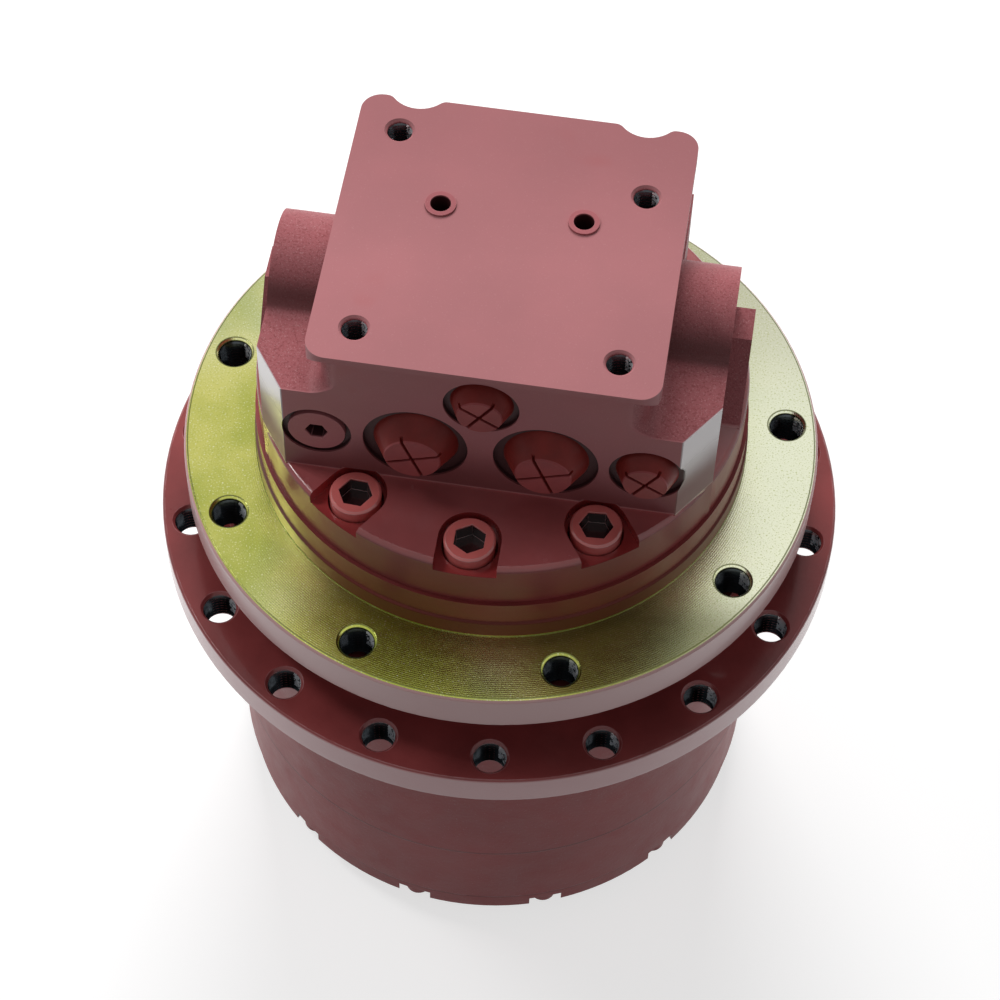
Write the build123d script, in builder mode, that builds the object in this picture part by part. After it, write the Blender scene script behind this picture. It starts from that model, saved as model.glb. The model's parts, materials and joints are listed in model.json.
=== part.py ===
from build123d import *
from math import acos, asin, cos, pi, radians, sin, tan
import os

os.makedirs("parts", exist_ok=True)

# Excavator final drive: travel motor, two-stage planetary gearbox and rotating drum.
# +Z is the drive axis and points to the motor end. Z = 0 is the frame flange's mounting face,
# and the oil ports face -Y. All sizes are in millimetres.

# Clearances
RUN = 0.05  # radial play of a running fit
SEAT = 0.05  # radial play of pieces that are pressed or screwed together
GAP = 0.3  # play between pieces that only pass each other

# Frame flange and spindle
SPIGOT_DIA = 208.8
SPIGOT_H = 10.0
FRAME_PCD = SPIGOT_DIA + 35.2
FRAME_DIA = FRAME_PCD + 26.0
FRAME_T = 20.0
FRAME_HOLES = 9
FRAME_PHASE = 10.0
TAP_M16 = 14.0
TAP_MOUTH = 1.1  # depth of the countersink over a tapped hole
MOTOR_BORE = 124.0
BRAKE_BORE = MOTOR_BORE + 8.0
MOTOR_BORE_DEPTH = 94.0
BRAKE_BORE_DEPTH = 44.0

# Main taper roller bearings and the spindle's end
BEARING_ID = 150.0
BEARING_OD = BEARING_ID + 40.0
BEARING_W = 24.0
BEARING_TOP = -52.0
BEARING_SPACER = 6.0
ROLLER_DIA = 7.6
ROLLER_LEN = 15.0
ROLLER_TILT = 10.0
ROLLER_COUNT = 24
ROLLER_PLAY = 0.15
HUB_DIA = BEARING_ID + 18.0
THREAD_DIA = BEARING_ID - 4.0
NUT_DIA = THREAD_DIA + 26.0
NUT_H = 13.0
SPINDLE_END = -122.0

# Face seal between spindle and drum
SEAL_FACE_Z = -33.0
SEAL_RING_IN = HUB_DIA + 6.0
SEAL_RING_OUT = SEAL_RING_IN + 21.0
SEAL_BORE = SEAL_RING_OUT + 17.0
SEAL_RING_T = 9.0
FIXED_LIP_WALL = 6.0
FIXED_LIP_H = 10.0

# Drum and sprocket flange
LIP_WALL = 5.0
LIP_DIA = SEAL_BORE + 26.0
LIP_TOP = -22.0
SPROCKET_PCD = LIP_DIA + 33.0
SPROCKET_DIA = SPROCKET_PCD + 24.0
SPROCKET_TOP = -43.5
SPROCKET_T = 16.5
SPROCKET_HOLES = 18
SPROCKET_PHASE = -3.0
PILOT_DIA = LIP_DIA + 6.0
PILOT_H = 12.0
DRUM_DIA = PILOT_DIA - 2.0
DRUM_STEP_Z = -160.0
DRUM_LOW_DIA = DRUM_DIA - 3.0
DRUM_END = -207.0

# Gears
MODULE = 3.0
PRESSURE_ANGLE = 20.0
BACKLASH = 0.16
ADDENDUM = 0.86
DEDENDUM = 1.2
RING_TEETH = 64
SUN2_TEETH = 20
PLANET2_TEETH = 22
PLANETS2 = 4
SUN1_TEETH = 14
PLANET1_TEETH = 25
PLANETS1 = 3
RING_OD = DRUM_LOW_DIA - 27.0
RING_TOP = -114.0

# Second stage
CARRIER2_PLAY = 5.42  # between the carrier and the tips of the ring gear's teeth
CARRIER2_T = 13.0
PLANET2_W = 26.0
FLANGE_T = 1.0
CARRIER2_LOW_T = 7.0
POST_PCD = 144.0
POST_DIA = 20.0
PIN2_DIA = 28.0
BUSH2_WALL = 4.0
CARRIER_SCREWS = 8
CARRIER_SCREW_PCD = 96.0

# First stage
STAGE_GAP = 2.0
CARRIER1_PLAY = 9.42
CARRIER1_T = 9.0
PLANET1_W = 19.0
PIN1_DIA = 22.0
BUSH1_WALL = 4.0
CLIP_T = 1.5
SUN2_HUB_DIA = 52.0
SUN_BORE = 30.0
DRIVE_DIA = 28.0
COUPLING_DIA = 36.0
COUPLING_LEN = 18.0

# End cover
COVER_DIA = DRUM_LOW_DIA - 3.0
COVER_RIM = 12.0
DOME_DIA = 176.0
DOME_H = 12.0
DISH_DIA = 160.0
DISH_DEPTH = 10.0
END_SCREWS = 12
END_SCREW_PCD = RING_OD + 11.6
END_SCREW_PHASE = 20.5
END_POCKET_DIA = 19.0
END_POCKET_DEPTH = 6.6
M8 = 8.0
M8_HEAD_DIA = 12.0
END_HEAD_H = 5.0
END_GRIP = 16.0
BUTTON_DIA = 34.0
BUTTON_H = 4.0
LEVEL_PLUG_DIA = 20.0
LEVEL_PLUG_PCD = 116.0
LEVEL_PLUGS = 3

# Rear cover with its valve block
COVER_LOW_DIA = SPIGOT_DIA - 1.8
COVER_STEP_Z = 22.0
COVER_UP_DIA = COVER_LOW_DIA - 3.0
LEDGE_Z = 45.5
SHOULDER_Z = 95.0
TOP_Z = 125.0
FRONT_Y = -63.5
FRONT_HALF = 79.0
SIDE_X = 92.0
FACET_Y = -45.0
TOP_HALF = 68.5
TOP_CORNER = 8.5
PLATE_T = 8.0
PLATE_LIP = 4.5
WALL_FOOT = 7.0
BOSS_DIA = 50.0
BOSS_Z = 88.0
BOSS_FOOT = 8.0
LOBE_HALF = 100.0
LOBE_Z = 75.0
LOBE_BACK = 22.0
LOBE_FRONT = 6.0
LOBE_TOE = -17.0
EAR_BACK = 34.0
EAR_Z = 86.0
SCREW_PCD = COVER_LOW_DIA - 31.0
SCREW_FRONT_ANGLE = 33.5
SCREW_BACK_ANGLE = 32.0
SCREW_SEAT_Z = 31.5
SEAT_DIA = 22.6  # spotface under a screw head
POCKET_DIA = 25.5
POCKET_FLOOR_Z = 40.0
POCKET_TOP = 47.5
FLUTE_BITE = 7.3  # from the back wall in to the centre of its outer flutes
FLUTE_CORNER = 4.0
BACK_Y = SCREW_PCD / 2 * cos(radians(SCREW_BACK_ANGLE)) - FLUTE_BITE
M14 = 14.0
M14_HEAD_DIA = 21.0
M14_GRIP = 20.0

# Top face of the valve block
TAP_M12 = 10.2
TAP_M12_DEPTH = 22.0
TAP_X = 51.0
TAP_FRONT_Y = -52.0
TAP_BACK_LEFT_Y = 49.5
TAP_BACK_RIGHT_Y = 31.0
SLEEVE_X = 28.5
SLEEVE_Y = 13.7
SLEEVE_DIA = 12.6
SLEEVE_BORE = 8.2
SLEEVE_H = 10.0
SLEEVE_PROUD = 0.9

# Ports on the front face
PORT_Z = 70.0
LARGE_PORT_X = 26.0
LARGE_SPOT_DIA = 42.0
LARGE_PORT_DIA = 24.5
SMALL_PORT_X = 66.0
SMALL_SPOT_DIA = 30.0
SMALL_PORT_DIA = 18.5
TOP_PORT_Z = 100.0
SPOT_DEPTH = 2.5
PORT_DEPTH = 18.0
CAP_SHANK = 10.0
LARGE_CAP_BASE = 34.0
LARGE_CAP_END = 22.0
LARGE_CAP_H = 10.0
SMALL_CAP_BASE = 25.0
SMALL_CAP_END = 17.5
SMALL_CAP_H = 7.5
LARGE_CAP_TURN = 21.0
SMALL_CAP_TURN = -33.0
CAP_GROOVE = 1.4
CAP_GROOVE_DEPTH = 2.2
BLIND_X = -65.5
BLIND_SPOT_DIA = 28.0
BLIND_HEAD_DIA = 23.0
BLIND_HEX = 8.0

# Counterbalance valve in the bosses
SPOOL_DIA = 25.0
SPOOL_HALF = 58.0
SPOOL_TRAVEL = 7.0
SPOOL_PLUG_DIA = 32.0
SPOOL_PLUG_LEN = 14.0
SPRING_WALL = 3.0

# Travel motor
VALVE_PLATE_T = 4.0
BLOCK_DIA = 94.0
BLOCK_LEN = 60.0
PISTONS = 9
PISTON_PCD = 66.0
PISTON_DIA = 15.0
PISTON_LEN = 43.0
CYLINDER_DEPTH = 48.0
NECK_DIA = 8.0
NECK_LEN = 3.0
SHOE_CUP_DIA = 16.0
SHOE_CUP_H = 4.0
SHOE_DIA = 21.0
SHOE_T = 3.0
RETAINER_T = 2.5
RETAINER_DIA = 92.0
SWASH_DIA = 118.0
SHAFT_DIA = 28.0
SHAFT_TOP_DIA = 24.0
SHAFT_TOP_Z = 33.0
REAR_BEARING_DIA = 40.0
REAR_BEARING_W = 20.0
FRONT_BEARING_DIA = 62.0
FRONT_BEARING_W = 18.0
FRONT_ROLLERS = 12
FRONT_ROLLER_DIA = 6.0
SHAFT_SEAL_DIA = 48.0
SHAFT_SEAL_W = 8.0
SEAL_SHOULDER = 4.0
DISC_T = 3.0
FRICTION_DISCS = 2
DISC_OUT = 122.0
PLATE_IN = 100.0
BRAKE_SPRING_T = 2.0
BRAKE_SPRING_H = 6.5

# Places worked out from the sizes above
FRAME_R = FRAME_DIA / 2
SPIGOT_R = SPIGOT_DIA / 2
RING_TOOTH_TIP = MODULE * (RING_TEETH / 2 - ADDENDUM)
CARRIER2_DIA = 2 * (RING_TOOTH_TIP - CARRIER2_PLAY)
CARRIER1_DIA = 2 * (RING_TOOTH_TIP - CARRIER1_PLAY)
CENTRE2 = MODULE * (SUN2_TEETH + PLANET2_TEETH) / 2
CENTRE1 = MODULE * (SUN1_TEETH + PLANET1_TEETH) / 2
CARRIER2_FACE = SPINDLE_END - CARRIER2_T
PLANET2_TOP = CARRIER2_FACE - FLANGE_T
PLANET2_END = PLANET2_TOP - PLANET2_W
CARRIER2_LOW = PLANET2_END - FLANGE_T
CARRIER2_END = CARRIER2_LOW - CARRIER2_LOW_T
CARRIER1_TOP = CARRIER2_END - STAGE_GAP
CARRIER1_END = CARRIER1_TOP - CARRIER1_T
PLANET1_TOP = CARRIER1_END - FLANGE_T
PLANET1_END = PLANET1_TOP - PLANET1_W
CLIP_TOP = PLANET1_END - FLANGE_T
COVER_END = DRUM_END - COVER_RIM
DOME_END = COVER_END - DOME_H
BUTTON_TOP = DRUM_END + BUTTON_H
SPROCKET_END = SPROCKET_TOP - SPROCKET_T
LOWER_BEARING_TOP = BEARING_TOP - BEARING_W - BEARING_SPACER
BEARING_END = LOWER_BEARING_TOP - BEARING_W
MOTOR_FLOOR = SPIGOT_H - MOTOR_BORE_DEPTH
BRAKE_FLOOR = SPIGOT_H - BRAKE_BORE_DEPTH
FRONT_BEARING_END = MOTOR_FLOOR - FRONT_BEARING_W
SEAL_TOP = FRONT_BEARING_END - SEAL_SHOULDER
VALVE_FACE = SPIGOT_H - VALVE_PLATE_T
BLOCK_END = VALVE_FACE - BLOCK_LEN
PISTON_TOP = BLOCK_END + CYLINDER_DEPTH - 8.0
PISTON_END = PISTON_TOP - PISTON_LEN
CUP_TOP = PISTON_END - NECK_LEN
SHOE_TOP = CUP_TOP - SHOE_CUP_H
SWASH_TOP = SHOE_TOP - SHOE_T
COUPLING_TOP = CARRIER2_FACE + 1.0 + COUPLING_LEN
SHAFT_END = COUPLING_TOP - COUPLING_LEN / 2 + 1.0
DRIVE_TOP = SHAFT_END - 2.0
BRAKE_STACK = DISC_T * (2 * FRICTION_DISCS + 1)
BRAKE_PISTON_END = BRAKE_FLOOR + BRAKE_STACK
BRAKE_PISTON_TOP = SPIGOT_H - BRAKE_SPRING_H
SPOT_FLOOR = FRONT_Y + SPOT_DEPTH
COVER_SCREW_ANGLES = [
    -90 - SCREW_FRONT_ANGLE,
    -90,
    -90 + SCREW_FRONT_ANGLE,
    90 - SCREW_BACK_ANGLE,
    90,
    90 + SCREW_BACK_ANGLE,
]


def revolved(points):
    """A ring-shaped solid from its half section, given as (radius, height) points."""
    with BuildPart() as ring:
        with BuildSketch(Plane.XZ):
            with BuildLine():
                Polyline(*points, close=True)
            make_face()
        revolve(axis=Axis.Z)
    return ring.part


def tube(outer, inner, top, end):
    """A plain ring between two heights."""
    with BuildPart() as ring:
        with BuildSketch(Plane.XY.offset(end)):
            Circle(outer)
            Circle(inner, mode=Mode.SUBTRACT)
        extrude(amount=top - end)
    return ring.part


def seal_rubber(centre_radius, half, height):
    """A sealing ring of eight-sided section."""
    flat = half * tan(pi / 8)
    corners = [(half, flat), (flat, half), (-flat, half), (-half, flat)]
    corners += [(-r, -z) for r, z in corners]
    return revolved([(centre_radius + r, height + z) for r, z in corners])


def involute(angle):
    """The involute function of an angle in radians."""
    return tan(angle) - angle


def half_tooth(teeth, radius, sign):
    """Half the angle of a tooth, or of a ring gear's space, at a radius."""
    pitch = MODULE * teeth / 2
    base = pitch * cos(radians(PRESSURE_ANGLE))
    at_radius = acos(base / max(radius, base))
    mean = pi / (2 * teeth) - sign * BACKLASH / 2 / pitch
    return mean + involute(radians(PRESSURE_ANGLE)) - involute(at_radius)


def tooth_outline(teeth, inner, outer, phase, sign):
    """The closed outline of a whole gear, a tooth or space being centred on the phase."""
    pitch = MODULE * teeth / 2
    flank = [inner, pitch, outer]
    points = []
    for tooth in range(teeth):
        centre = radians(phase) + 2 * pi * tooth / teeth
        for radius in flank:
            turn = centre - half_tooth(teeth, radius, sign)
            points.append((radius * cos(turn), radius * sin(turn)))
        for radius in reversed(flank):
            turn = centre + half_tooth(teeth, radius, sign)
            points.append((radius * cos(turn), radius * sin(turn)))
    return points


def gear_sketch(teeth, phase):
    """The outline of an external gear with a tooth centred on the phase."""
    pitch = MODULE * teeth / 2
    root = pitch - MODULE * DEDENDUM
    tip = pitch + MODULE * ADDENDUM
    with BuildSketch() as outline:
        with BuildLine():
            Polyline(*tooth_outline(teeth, root, tip, phase, 1), close=True)
        make_face()
    return outline.sketch


def planet_phase(place, planet_teeth):
    """Where a planet at this place has a tooth, so that it meshes with the ring gear."""
    return place * (1 - RING_TEETH / planet_teeth)


def sun_phase(first_place, sun_teeth, planet_teeth):
    """Where the sun has a tooth, half a tooth from the space that the planet fills."""
    space = first_place * (1 + RING_TEETH / sun_teeth) + 180 * planet_teeth / sun_teeth
    return space + 180 / sun_teeth


def socket_screw(head_dia, head_h, dia, length, key, direction):
    """A socket-head screw whose head rests at height 0, pointing up or down."""
    with BuildPart() as screw:
        Cylinder(head_dia / 2, head_h, align=(Align.CENTER, Align.CENTER, Align.MIN))
        chamfer(screw.edges().group_by(Axis.Z)[-1], 0.8)
        with BuildSketch(Plane.XY.offset(head_h)):
            RegularPolygon(key / 2, 6, major_radius=False)
        extrude(amount=-head_h / 2, mode=Mode.SUBTRACT)
        Cylinder(dia / 2, length, align=(Align.CENTER, Align.CENTER, Align.MAX))
    solid = screw.part
    return solid if direction > 0 else solid.rotate(Axis.X, 180)


def save(piece, name):
    """Name a finished piece and write it."""
    piece.label = name
    export_step(piece, "parts/" + name + ".step")


# Spindle: frame flange, spigot, bearing seats and the motor's housing in one casting
hub_r = HUB_DIA / 2
seal_bore_r = SEAL_BORE / 2
fixed_lip_r = seal_bore_r + FIXED_LIP_WALL
seal_pocket_top = -FRAME_T - 2.0
thread_r = THREAD_DIA / 2
with BuildPart() as spindle:
    with BuildSketch(Plane.XZ):
        with BuildLine():
            Polyline(
                (BRAKE_BORE / 2, SPIGOT_H),
                (SPIGOT_R - 1, SPIGOT_H),
                (SPIGOT_R, SPIGOT_H - 1),
                (SPIGOT_R, 0),
                (FRAME_R - 1.5, 0),
                (FRAME_R, -1.5),
                (FRAME_R, 1.5 - FRAME_T),
                (FRAME_R - 1.5, -FRAME_T),
                (fixed_lip_r, -FRAME_T),
                (fixed_lip_r, -FRAME_T - FIXED_LIP_H),
                (seal_bore_r, -FRAME_T - FIXED_LIP_H),
                (seal_bore_r, seal_pocket_top),
                (hub_r, seal_pocket_top),
                (hub_r, BEARING_TOP),
                (BEARING_ID / 2 - SEAT, BEARING_TOP),
                (BEARING_ID / 2 - SEAT, BEARING_END),
                (thread_r, BEARING_END),
                (thread_r, SPINDLE_END),
                (SHAFT_SEAL_DIA / 2, SPINDLE_END),
                (SHAFT_SEAL_DIA / 2, SEAL_TOP),
                (SHAFT_SEAL_DIA / 2 - 3, SEAL_TOP),
                (SHAFT_SEAL_DIA / 2 - 3, FRONT_BEARING_END),
                (FRONT_BEARING_DIA / 2, FRONT_BEARING_END),
                (FRONT_BEARING_DIA / 2, MOTOR_FLOOR),
                (MOTOR_BORE / 2, MOTOR_FLOOR),
                (MOTOR_BORE / 2, BRAKE_FLOOR),
                (BRAKE_BORE / 2, BRAKE_FLOOR),
                close=True,
            )
        make_face()
    revolve(axis=Axis.Z)
    with PolarLocations(FRAME_PCD / 2, FRAME_HOLES, start_angle=FRAME_PHASE):
        CounterSinkHole(TAP_M16 / 2, TAP_M16 / 2 + TAP_MOUTH, counter_sink_angle=90)
    with BuildSketch(Plane.XY.offset(SPIGOT_H)):
        for angle in COVER_SCREW_ANGLES:
            with PolarLocations(SCREW_PCD / 2, 1, start_angle=angle):
                Circle(M14 / 2 + SEAT)
    extrude(amount=-M14_GRIP - 2.0, mode=Mode.SUBTRACT)
    with BuildSketch(Plane.XY.offset(SPINDLE_END)):
        with PolarLocations(
            CARRIER_SCREW_PCD / 2, CARRIER_SCREWS, start_angle=180 / CARRIER_SCREWS
        ):
            Circle(M8 / 2 + SEAT)
    extrude(amount=13.0, mode=Mode.SUBTRACT)
save(spindle.part, "spindle")

# Rear cover: a round flange with the valve block on it
boss_r = BOSS_DIA / 2
pocket_r = POCKET_DIA / 2
wall_half = TOP_HALF - PLATE_LIP


def wall_foot(side):
    """The concave foot between the block's wall and the shoulder, cut off at the front face."""
    corner_x = side * (wall_half - TOP_CORNER)
    corner_y = FRONT_Y + TOP_CORNER
    inner = side * (wall_half - 1)
    rise = WALL_FOOT * (1 - cos(pi / 4))
    with BuildPart() as foot:
        for start_y in (0, corner_y):
            with BuildSketch(Plane.XZ.offset(-start_y)):
                with BuildLine():
                    Polyline(
                        (side * wall_half, SHOULDER_Z + WALL_FOOT),
                        (inner, SHOULDER_Z + WALL_FOOT),
                        (inner, SHOULDER_Z),
                        (side * (wall_half + WALL_FOOT), SHOULDER_Z),
                    )
                    ThreePointArc(
                        (side * (wall_half + WALL_FOOT), SHOULDER_Z),
                        (side * (wall_half + rise), SHOULDER_Z + rise),
                        (side * wall_half, SHOULDER_Z + WALL_FOOT),
                    )
                make_face()
            if start_y == 0:
                extrude(amount=-corner_y)
            else:
                corner = Axis((corner_x, corner_y, 0), (0, 0, -side))
                revolve(axis=corner, revolution_arc=90)
        with Locations((0, FRONT_Y - WALL_FOOT, SHOULDER_Z)):
            Box(4 * wall_half, 2 * WALL_FOOT, 4 * WALL_FOOT, mode=Mode.SUBTRACT)
    return foot.part


with BuildPart() as rear_cover:
    with BuildSketch(Plane.XY.offset(SPIGOT_H)):
        Circle(COVER_LOW_DIA / 2)
    extrude(amount=COVER_STEP_Z - SPIGOT_H)
    with BuildSketch(Plane.XY.offset(COVER_STEP_Z)):
        Circle(COVER_UP_DIA / 2)
    extrude(amount=LEDGE_Z - COVER_STEP_Z)
    fillet(rear_cover.edges().group_by(Axis.Z)[-1], 2.5)
    with BuildSketch(Plane.XY.offset(COVER_STEP_Z)):
        with BuildLine():
            Polyline(
                (-FRONT_HALF, FRONT_Y),
                (FRONT_HALF, FRONT_Y),
                (SIDE_X, FACET_Y),
                (SIDE_X, boss_r),
                (TOP_HALF, boss_r),
                (TOP_HALF, BACK_Y),
                (-TOP_HALF, BACK_Y),
                (-TOP_HALF, boss_r),
                (-SIDE_X, boss_r),
                (-SIDE_X, FACET_Y),
                close=True,
            )
        make_face()
    extrude(amount=BOSS_Z - COVER_STEP_Z)
    with BuildSketch(Plane.XY.offset(BOSS_Z)):
        with BuildLine():
            Polyline(
                (-FRONT_HALF, FRONT_Y),
                (FRONT_HALF, FRONT_Y),
                (SIDE_X, FACET_Y),
                (SIDE_X, 0),
                (-SIDE_X, 0),
                (-SIDE_X, FACET_Y),
                close=True,
            )
        make_face()
    extrude(amount=SHOULDER_Z - BOSS_Z)
    # The bosses' cross-section runs out onto the shoulder in a wide fillet
    with BuildSketch(Plane.YZ.offset(-SIDE_X)) as boss_section:
        with Locations((0, BOSS_Z)):
            Circle(boss_r)
        with Locations((FACET_Y / 2, SHOULDER_Z - 4)):
            Rectangle(-FACET_Y, 8)
        front_corner = boss_section.vertices().filter_by(
            lambda v: abs(v.Y - SHOULDER_Z) < 0.01 and -boss_r < v.X < -1
        )
        fillet(front_corner, BOSS_FOOT)
    extrude(amount=2 * SIDE_X)
    # Block wall, filleted onto the shoulder, under the plate that overhangs it
    with BuildSketch(Plane.XY.offset(BOSS_Z)):
        with Locations((0, (FRONT_Y + BACK_Y) / 2)):
            RectangleRounded(2 * wall_half, BACK_Y - FRONT_Y, TOP_CORNER)
    extrude(amount=TOP_Z - BOSS_Z)
    for side in (-1, 1):
        add(wall_foot(side))
    plate_front = FRONT_Y - PLATE_LIP
    with BuildSketch(Plane.XY.offset(TOP_Z - PLATE_T)):
        with Locations((0, (plate_front + BACK_Y) / 2)):
            RectangleRounded(2 * TOP_HALF, BACK_Y - plate_front, TOP_CORNER)
    extrude(amount=PLATE_T)
    # Cast lobes under the bosses, sloping down to the ledge in front
    with BuildSketch(Plane.YZ.offset(-LOBE_HALF)):
        with BuildLine():
            Polyline(
                (LOBE_BACK, COVER_STEP_Z),
                (LOBE_BACK, LOBE_Z),
                (LOBE_FRONT, LOBE_Z),
                (LOBE_TOE, LEDGE_Z),
                (LOBE_TOE, COVER_STEP_Z),
                close=True,
            )
        make_face()
    extrude(amount=2 * LOBE_HALF)
    with BuildSketch(Plane.XY.offset(COVER_STEP_Z)):
        with Locations((-(SIDE_X + TOP_HALF) / 2, EAR_BACK / 2)):
            Rectangle(SIDE_X - TOP_HALF, EAR_BACK)
    extrude(amount=EAR_Z - COVER_STEP_Z)
    # Pockets of the flange screws: open outwards, and on the back carried up as flutes
    for angle in COVER_SCREW_ANGLES:
        pocket_top = TOP_Z if angle > 0 else POCKET_TOP
        with BuildSketch(Plane.XY.offset(POCKET_FLOOR_Z)):
            with PolarLocations(SCREW_PCD / 2, 1, start_angle=angle):
                Circle(pocket_r)
                with Locations((pocket_r, 0)):
                    Rectangle(2 * pocket_r, 2 * pocket_r)
        extrude(amount=pocket_top - POCKET_FLOOR_Z, mode=Mode.SUBTRACT)
    flute_edges = rear_cover.edges().filter_by(Axis.Z).filter_by(
        lambda e: abs(e.center().Y - BACK_Y) < 0.01
        and e.bounding_box().max.Z > TOP_Z - 0.01
        and 1 < abs(e.center().X) < TOP_HALF - 1
    )
    fillet(flute_edges, FLUTE_CORNER)
    for floor_z, radius in ((SCREW_SEAT_Z, SEAT_DIA / 2), (SPIGOT_H, M14 / 2 + SEAT)):
        with BuildSketch(Plane.XY.offset(floor_z)):
            for angle in COVER_SCREW_ANGLES:
                with PolarLocations(SCREW_PCD / 2, 1, start_angle=angle):
                    Circle(radius)
        extrude(amount=POCKET_TOP - floor_z, mode=Mode.SUBTRACT)
    # Front face: spotfaces and ports
    with BuildSketch(Plane.XZ.offset(-FRONT_Y)):
        with Locations((-LARGE_PORT_X, PORT_Z), (LARGE_PORT_X, PORT_Z)):
            Circle(LARGE_SPOT_DIA / 2)
        with Locations((SMALL_PORT_X, PORT_Z), (0, TOP_PORT_Z)):
            Circle(SMALL_SPOT_DIA / 2)
        with Locations((BLIND_X, PORT_Z)):
            Circle(BLIND_SPOT_DIA / 2)
    extrude(amount=-SPOT_DEPTH, mode=Mode.SUBTRACT)
    with BuildSketch(Plane.XZ.offset(-FRONT_Y)):
        with Locations((-LARGE_PORT_X, PORT_Z), (LARGE_PORT_X, PORT_Z)):
            Circle(LARGE_PORT_DIA / 2)
        with Locations((SMALL_PORT_X, PORT_Z), (0, TOP_PORT_Z), (BLIND_X, PORT_Z)):
            Circle(SMALL_PORT_DIA / 2)
    extrude(amount=-SPOT_DEPTH - PORT_DEPTH, mode=Mode.SUBTRACT)
    # Counterbalance bore through both bosses
    with BuildSketch(Plane.YZ.offset(-SIDE_X)):
        with Locations((0, BOSS_Z)):
            Circle(SPOOL_DIA / 2 + RUN)
    extrude(amount=2 * SIDE_X, mode=Mode.SUBTRACT)
    for side in (-1, 1):
        with BuildSketch(Plane.YZ.offset(side * SIDE_X)):
            with Locations((0, BOSS_Z)):
                Circle(SPOOL_PLUG_DIA / 2)
        extrude(amount=-side * SPOOL_PLUG_LEN, mode=Mode.SUBTRACT)
    # Top face: tapped holes and sleeve bores
    top_taps = [
        (-TAP_X, TAP_FRONT_Y),
        (TAP_X, TAP_FRONT_Y),
        (-TAP_X, TAP_BACK_LEFT_Y),
        (TAP_X, TAP_BACK_RIGHT_Y),
    ]
    with Locations(*[(x, y, TOP_Z) for x, y in top_taps]):
        CounterSinkHole(
            TAP_M12 / 2,
            TAP_M12 / 2 + TAP_MOUTH,
            depth=TAP_M12_DEPTH,
            counter_sink_angle=90,
        )
    with Locations((-SLEEVE_X, SLEEVE_Y, TOP_Z), (SLEEVE_X, SLEEVE_Y, TOP_Z)):
        Hole(SLEEVE_DIA / 2, depth=SLEEVE_H)
    # Bearing pocket under the valve plate
    with BuildSketch(Plane.XY.offset(SPIGOT_H)):
        Circle(REAR_BEARING_DIA / 2)
    extrude(amount=SHAFT_TOP_Z - SPIGOT_H + 1.0, mode=Mode.SUBTRACT)
save(rear_cover.part, "rear_cover")

# Screws that hold the rear cover on the spindle
m14_screw = socket_screw(
    M14_HEAD_DIA, M14, M14, SCREW_SEAT_Z - SPIGOT_H + M14_GRIP, 12.0, 1
)
with BuildPart() as cover_screws:
    for angle in COVER_SCREW_ANGLES:
        with PolarLocations(SCREW_PCD / 2, 1, start_angle=angle):
            with Locations((0, 0, SCREW_SEAT_Z)):
                add(m14_screw)
save(cover_screws.part, "cover_screws")


def port_cap(base_dia, end_dia, shank_dia, height, turn):
    """A tapered plastic plug for an oil port, with two crossed grooves in its end."""
    with BuildPart() as cap:
        with BuildSketch(Plane.XY):
            Circle(base_dia / 2)
        with BuildSketch(Plane.XY.offset(height)):
            Circle(end_dia / 2)
        loft()
        with BuildSketch(Plane.XY.offset(height)):
            for angle in (turn, turn + 90):
                Rectangle(base_dia, CAP_GROOVE, rotation=angle)
        extrude(amount=-CAP_GROOVE_DEPTH, mode=Mode.SUBTRACT)
        Cylinder(
            shank_dia / 2, CAP_SHANK, align=(Align.CENTER, Align.CENTER, Align.MAX)
        )
    return cap.part


def at_front(piece, places):
    """Copies of a piece on the front face's spotfaces, its Z pointing out of the face."""
    with BuildPart() as copies:
        with Locations(Plane.XZ.offset(-SPOT_FLOOR)):
            with Locations(*places):
                add(piece)
    return copies.part


large_cap = port_cap(
    LARGE_CAP_BASE,
    LARGE_CAP_END,
    LARGE_PORT_DIA - 2 * SEAT,
    LARGE_CAP_H,
    LARGE_CAP_TURN,
)
small_cap = port_cap(
    SMALL_CAP_BASE,
    SMALL_CAP_END,
    SMALL_PORT_DIA - 2 * SEAT,
    SMALL_CAP_H,
    SMALL_CAP_TURN,
)
save(
    at_front(large_cap, [(-LARGE_PORT_X, PORT_Z), (LARGE_PORT_X, PORT_Z)]),
    "large_port_caps",
)
save(
    at_front(small_cap, [(SMALL_PORT_X, PORT_Z), (0, TOP_PORT_Z)]), "small_port_caps"
)

# Flush blind plug beside the ports
with BuildPart() as blind:
    Cylinder(
        BLIND_HEAD_DIA / 2, SPOT_DEPTH, align=(Align.CENTER, Align.CENTER, Align.MIN)
    )
    Cylinder(
        SMALL_PORT_DIA / 2 - SEAT,
        CAP_SHANK,
        align=(Align.CENTER, Align.CENTER, Align.MAX),
    )
    with BuildSketch(Plane.XY.offset(SPOT_DEPTH)):
        RegularPolygon(BLIND_HEX / 2, 6, major_radius=False)
    extrude(amount=-6.0, mode=Mode.SUBTRACT)
save(at_front(blind.part, [(BLIND_X, PORT_Z)]), "blind_plug")

# Sleeves pressed into the top face
with BuildPart() as port_sleeves:
    with BuildSketch(Plane.XY.offset(TOP_Z - SLEEVE_H)):
        with Locations((-SLEEVE_X, SLEEVE_Y), (SLEEVE_X, SLEEVE_Y)):
            Circle(SLEEVE_DIA / 2 - SEAT)
            Circle(SLEEVE_BORE / 2, mode=Mode.SUBTRACT)
    extrude(amount=SLEEVE_H + SLEEVE_PROUD)
save(port_sleeves.part, "port_sleeves")

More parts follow.
